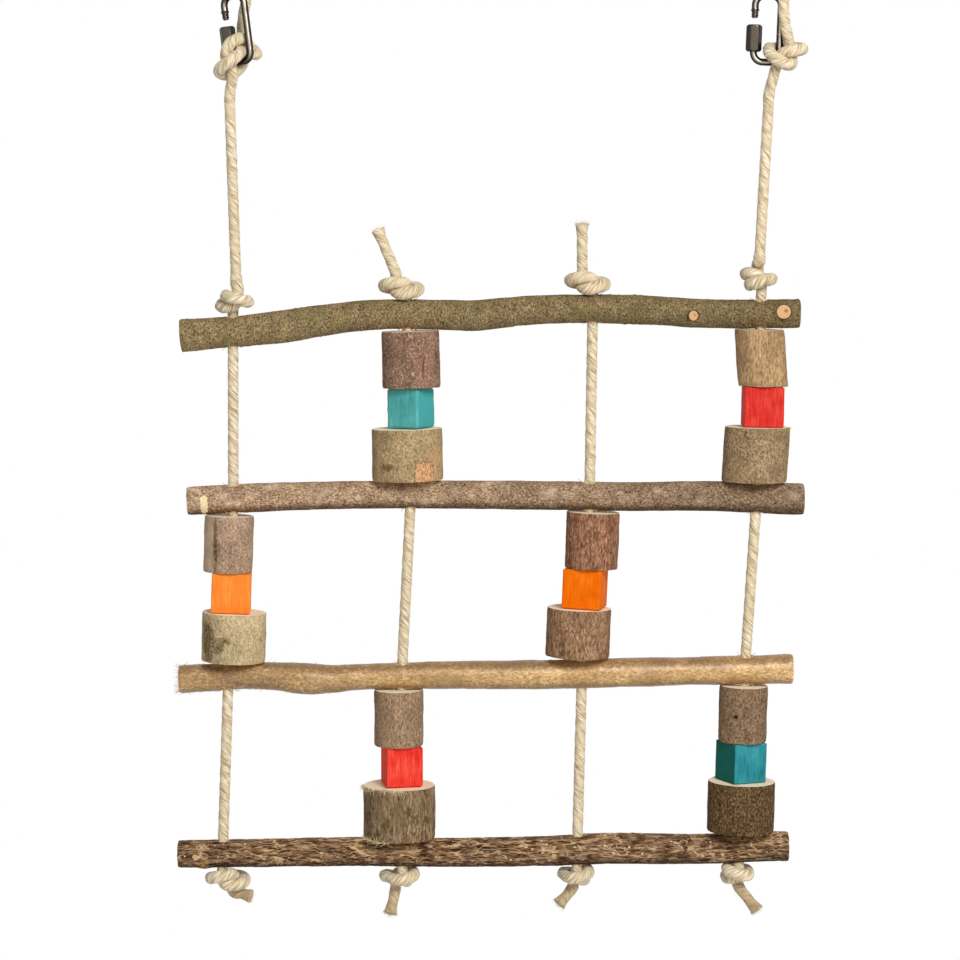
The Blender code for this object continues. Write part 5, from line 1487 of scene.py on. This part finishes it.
steel = {
    "threadPitch": 0.0012,     # coarser than the real 0.7 mm, so that its grooves show
    "threadDepth": 0.00045,
    "threadLength": 0.0042,
    "threadProud": 0.0001,
    "threadStart": 0.0004,     # length in which its grooves get deep
    "collar": 0.0006,          # how far the thread's first turn stands proud
    "collarPlace": 0.0005,     # before the thread
    "collarWidth": 0.00035,
    "tip": (0.0007, 0.0008),   # how far the threaded end is turned down, and along what length
    "rodSides": 32,
    "fineStep": 0.0001,        # between rings at the ends
    "fineEnds": (0.0005, 0.0075),   # lengths of the lower and the threaded end that need them
    "coarse": 5,               # fine steps between rings elsewhere
    "nutSides": 96,
    "nutSharp": 25.0,          # degrees
    "chamfer": 0.0013,
    "chamferRings": 9,
    "chamferSlope": 0.75,
    "chamferBow": 30.0,        # for each metre
    "chamferStart": 0.00005,   # past the corners
    "cornerEase": 0.00012,
    "mouth": (0.0003, 0.0004),   # how far the bore opens at its ends, and along what length
    # colours by how far a surface looks aside from the viewer: a painted highlight where it faces straight
    # on, painted shade towards its edges
    "rodPaintedHighlightAndShade": ((0.0, "#c9c0b4"), (0.03, "#968c80"), (0.10, "#574e44"), (0.30, "#2f2822"),
                  (0.6, "#171310")),
    "nutPaintedEdgeShade": ((0.02, "#5a5348"), (0.22, "#433b32"), (0.60, "#171310")),
}


def steelMaterial(name, shades):  # polished dark-plated steel with scratches; painted shade darkens it towards its edges and a painted highlight lies where it faces the viewer
    material, tree, shader, place = newMaterial(name)
    # painted highlight and painted shade, by how squarely the surface faces the viewer
    facing = addNode(tree, "ShaderNodeLayerWeight", {"Blend": 0.5}).outputs["Facing"]
    colour = addNode(tree, "ShaderNodeValToRGB", {0: facing}, stops=shades)
    lie = addNode(tree, "ShaderNodeMapping", {"Vector": place, "Scale": (1.0, 1.0, 0.15)})
    scratch = addNode(tree, "ShaderNodeTexNoise", {"Vector": lie, "Scale": perMetre(0.6), "Detail": 4.0})
    rough = addNode(tree, "ShaderNodeMapRange", {"Value": scratch, "From Min": 0.3, "From Max": 0.7,
                                                 "To Min": 0.16, "To Max": 0.28})
    bump = addNode(tree, "ShaderNodeBump", {"Height": scratch, "Strength": 0.12, "Distance": 0.0001})
    setInputs(tree, shader, {"Base Color": colour, "Roughness": rough, "Normal": bump, "Metallic": 1.0})
    return material


def makeRodTree():  # a round rod along a line, cut with a thread where its points say so
    tree, given = newTree("threadedRod", Sides=("Int", 32), Pitch=("Float", 0.0008),
                          Depth=("Float", 0.0003), Material=("Material", None))
    place = addNode(tree, "GeometryNodeInputPosition")
    circle = addNode(tree, "GeometryNodeCurvePrimitiveCircle", {"Resolution": given["Sides"], "Radius": 1.0})
    marked = addNode(tree, "GeometryNodeStoreNamedAttribute",
                     {"Geometry": circle, "Name": "lobe", "Value": place}, data_type="FLOAT_VECTOR")
    line = addNode(tree, "GeometryNodeMeshToCurve", {0: given["Geometry"]})
    names = {name: addNode(tree, "GeometryNodeInputNamedAttribute", {"Name": name}, data_type="FLOAT")
             for name in ("girth", "along", "thread")}
    lobe = addNode(tree, "GeometryNodeInputNamedAttribute", {"Name": "lobe"}, data_type="FLOAT_VECTOR")
    swept = addNode(tree, "GeometryNodeCurveToMesh", {
        "Curve": line, "Profile Curve": marked, "Scale": names["girth"], "Fill Caps": True})
    flat = addNode(tree, "ShaderNodeSeparateXYZ", {0: lobe}).outputs
    turn = addNode(tree, "ShaderNodeMath", {0: flat["Y"], 1: flat["X"]}, operation="ARCTAN2")
    turn = addNode(tree, "ShaderNodeMath", {0: turn, 1: 2 * math.pi}, operation="DIVIDE")
    run = addNode(tree, "ShaderNodeMath", {0: names["along"], 1: given["Pitch"]}, operation="DIVIDE")
    phase = addNode(tree, "ShaderNodeMath", {0: run, 1: turn}, operation="ADD")
    tooth = addNode(tree, "ShaderNodeMath", {0: phase, 1: 0.5}, operation="PINGPONG")
    cut = addNode(tree, "ShaderNodeMath", {0: tooth, 1: -2.0}, operation="MULTIPLY")
    cut = addNode(tree, "ShaderNodeMath", {0: cut, 1: names["thread"]}, operation="MULTIPLY")
    cut = addNode(tree, "ShaderNodeMath", {0: cut, 1: given["Depth"]}, operation="MULTIPLY")
    normal = addNode(tree, "GeometryNodeInputNormal")
    move = addNode(tree, "ShaderNodeVectorMath", {0: normal, "Scale": cut}, operation="SCALE")
    threaded = addNode(tree, "GeometryNodeSetPosition", {"Geometry": swept, "Offset": move})
    smooth = addNode(tree, "GeometryNodeSetShadeSmooth", {"Geometry": threaded})
    closeTree(tree, smooth, given["Material"])
    return tree


rodTree = makeRodTree()
rodSteel = steelMaterial("dark plated steel rod, painted highlight", steel["rodPaintedHighlightAndShade"])
nutSteel = steelMaterial("dark plated steel nut, painted edge shade", steel["nutPaintedEdgeShade"])


def makeLink(side):
    name, matrix = links["names"][side], linkMatrix(side)
    line = evenLine(linkLine(), steel["fineStep"])
    along = np.arange(len(line)) * np.linalg.norm(line[1] - line[0])
    toEnd = along[-1] - along
    lowerEnd, threadedEnd = steel["fineEnds"]
    keep = (toEnd < threadedEnd) | (np.arange(len(line)) % steel["coarse"] == 0) | (along < lowerEnd)
    line, along, toEnd = line[keep], along[keep], toEnd[keep]
    rod, length = links["rod"] / 2, steel["threadLength"]
    collar = np.exp(-((toEnd - length - steel["collarPlace"]) / steel["collarWidth"]) ** 2)
    radii = rod + steel["collar"] * collar + steel["threadProud"] * (toEnd < length)
    radii -= steel["tip"][0] * np.clip(1 - toEnd / steel["tip"][1], 0, 1)
    thread = softStep((length - toEnd) / steel["threadStart"])
    mesh = grown(name, wire(line, girth=radii, along=along, thread=thread), rodTree,
                 Sides=steel["rodSides"], Pitch=steel["threadPitch"], Depth=steel["threadDepth"],
                 Material=rodSteel)
    mesh.transform(matrix)
    obj = linked(name + "_rod", mesh)
    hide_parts(name)
    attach(obj, "quick_links")
    makeNut(side, matrix)


def makeNut(side, matrix):  # a long six-sided nut with turned corners at both ends
    name = links["names"][side] + "_nut"
    half, flat = links["nutLength"] / 2, links["nutFlats"] / 2
    corner, bore = flat / math.cos(math.pi / 6), links["rod"] / 2 + links["nutBoreGap"]
    sides, rise = steel["nutSides"], steel["chamfer"] * np.linspace(0, 1, steel["chamferRings"])
    angles = [2 * math.pi * k / sides for k in range(sides)]
    bm = bmesh.new()
    loops = []
    for z in np.concatenate((-half + rise, half - rise[::-1])):
        inset = max(steel["chamfer"] - (half - abs(z)), 0.0)
        turnedOff = steel["chamferSlope"] * inset + steel["chamferBow"] * inset ** 2
        limit = corner + steel["chamferStart"] - turnedOff
        loop = []
        for a in angles:
            reach = flat / math.cos((a + math.pi / 6) % (math.pi / 3) - math.pi / 6)
            reach = min(reach, corner - steel["cornerEase"], limit)
            loop.append(bm.verts.new((reach * math.cos(a), reach * math.sin(a), z)))
        loops.append(loop)
    wider, deep = steel["mouth"]
    for z, wide in ((half, bore + wider), (half - deep, bore), (-half + deep, bore), (-half, bore + wider)):
        loops.append([bm.verts.new((wide * math.cos(a), wide * math.sin(a), z)) for a in angles])
    for lower, upper in zip(loops, loops[1:] + loops[:1]):
        for k in range(sides):
            n = (k + 1) % sides
            bm.faces.new((lower[k], lower[n], upper[n], upper[k]))
    bmesh.ops.recalc_face_normals(bm, faces=bm.faces)
    mesh = bpy.data.meshes.new(name)
    bm.to_mesh(mesh)
    bm.free()
    mesh.shade_smooth()
    mesh.set_sharp_from_angle(angle=math.radians(steel["nutSharp"]))
    mesh.materials.append(nutSteel)
    mesh.transform(matrix @ Matrix.Translation((-links["half"], 0.0, links["nutFoot"] + half))
                   @ Matrix.Rotation(math.radians(links["nutTurns"][side]), 4, "Z"))
    obj = linked(name + "_hexagon", mesh)
    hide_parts(name)
    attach(obj, ("left_nut", "right_nut")[side])


for rope in range(len(ropes["crossings"])):
    makeRope(rope)
print("ropes made")
for level in range(len(rungs["names"])):
    makeRung(level)
print("rungs made")
for number, (bay, rope) in enumerate(beads["stacks"]):
    makeStack(bay, rope, 20 + 3 * number)   # three seeds to a stack
print("beads made")
for side in range(len(links["names"])):
    makeLink(side)
print("quick links made")
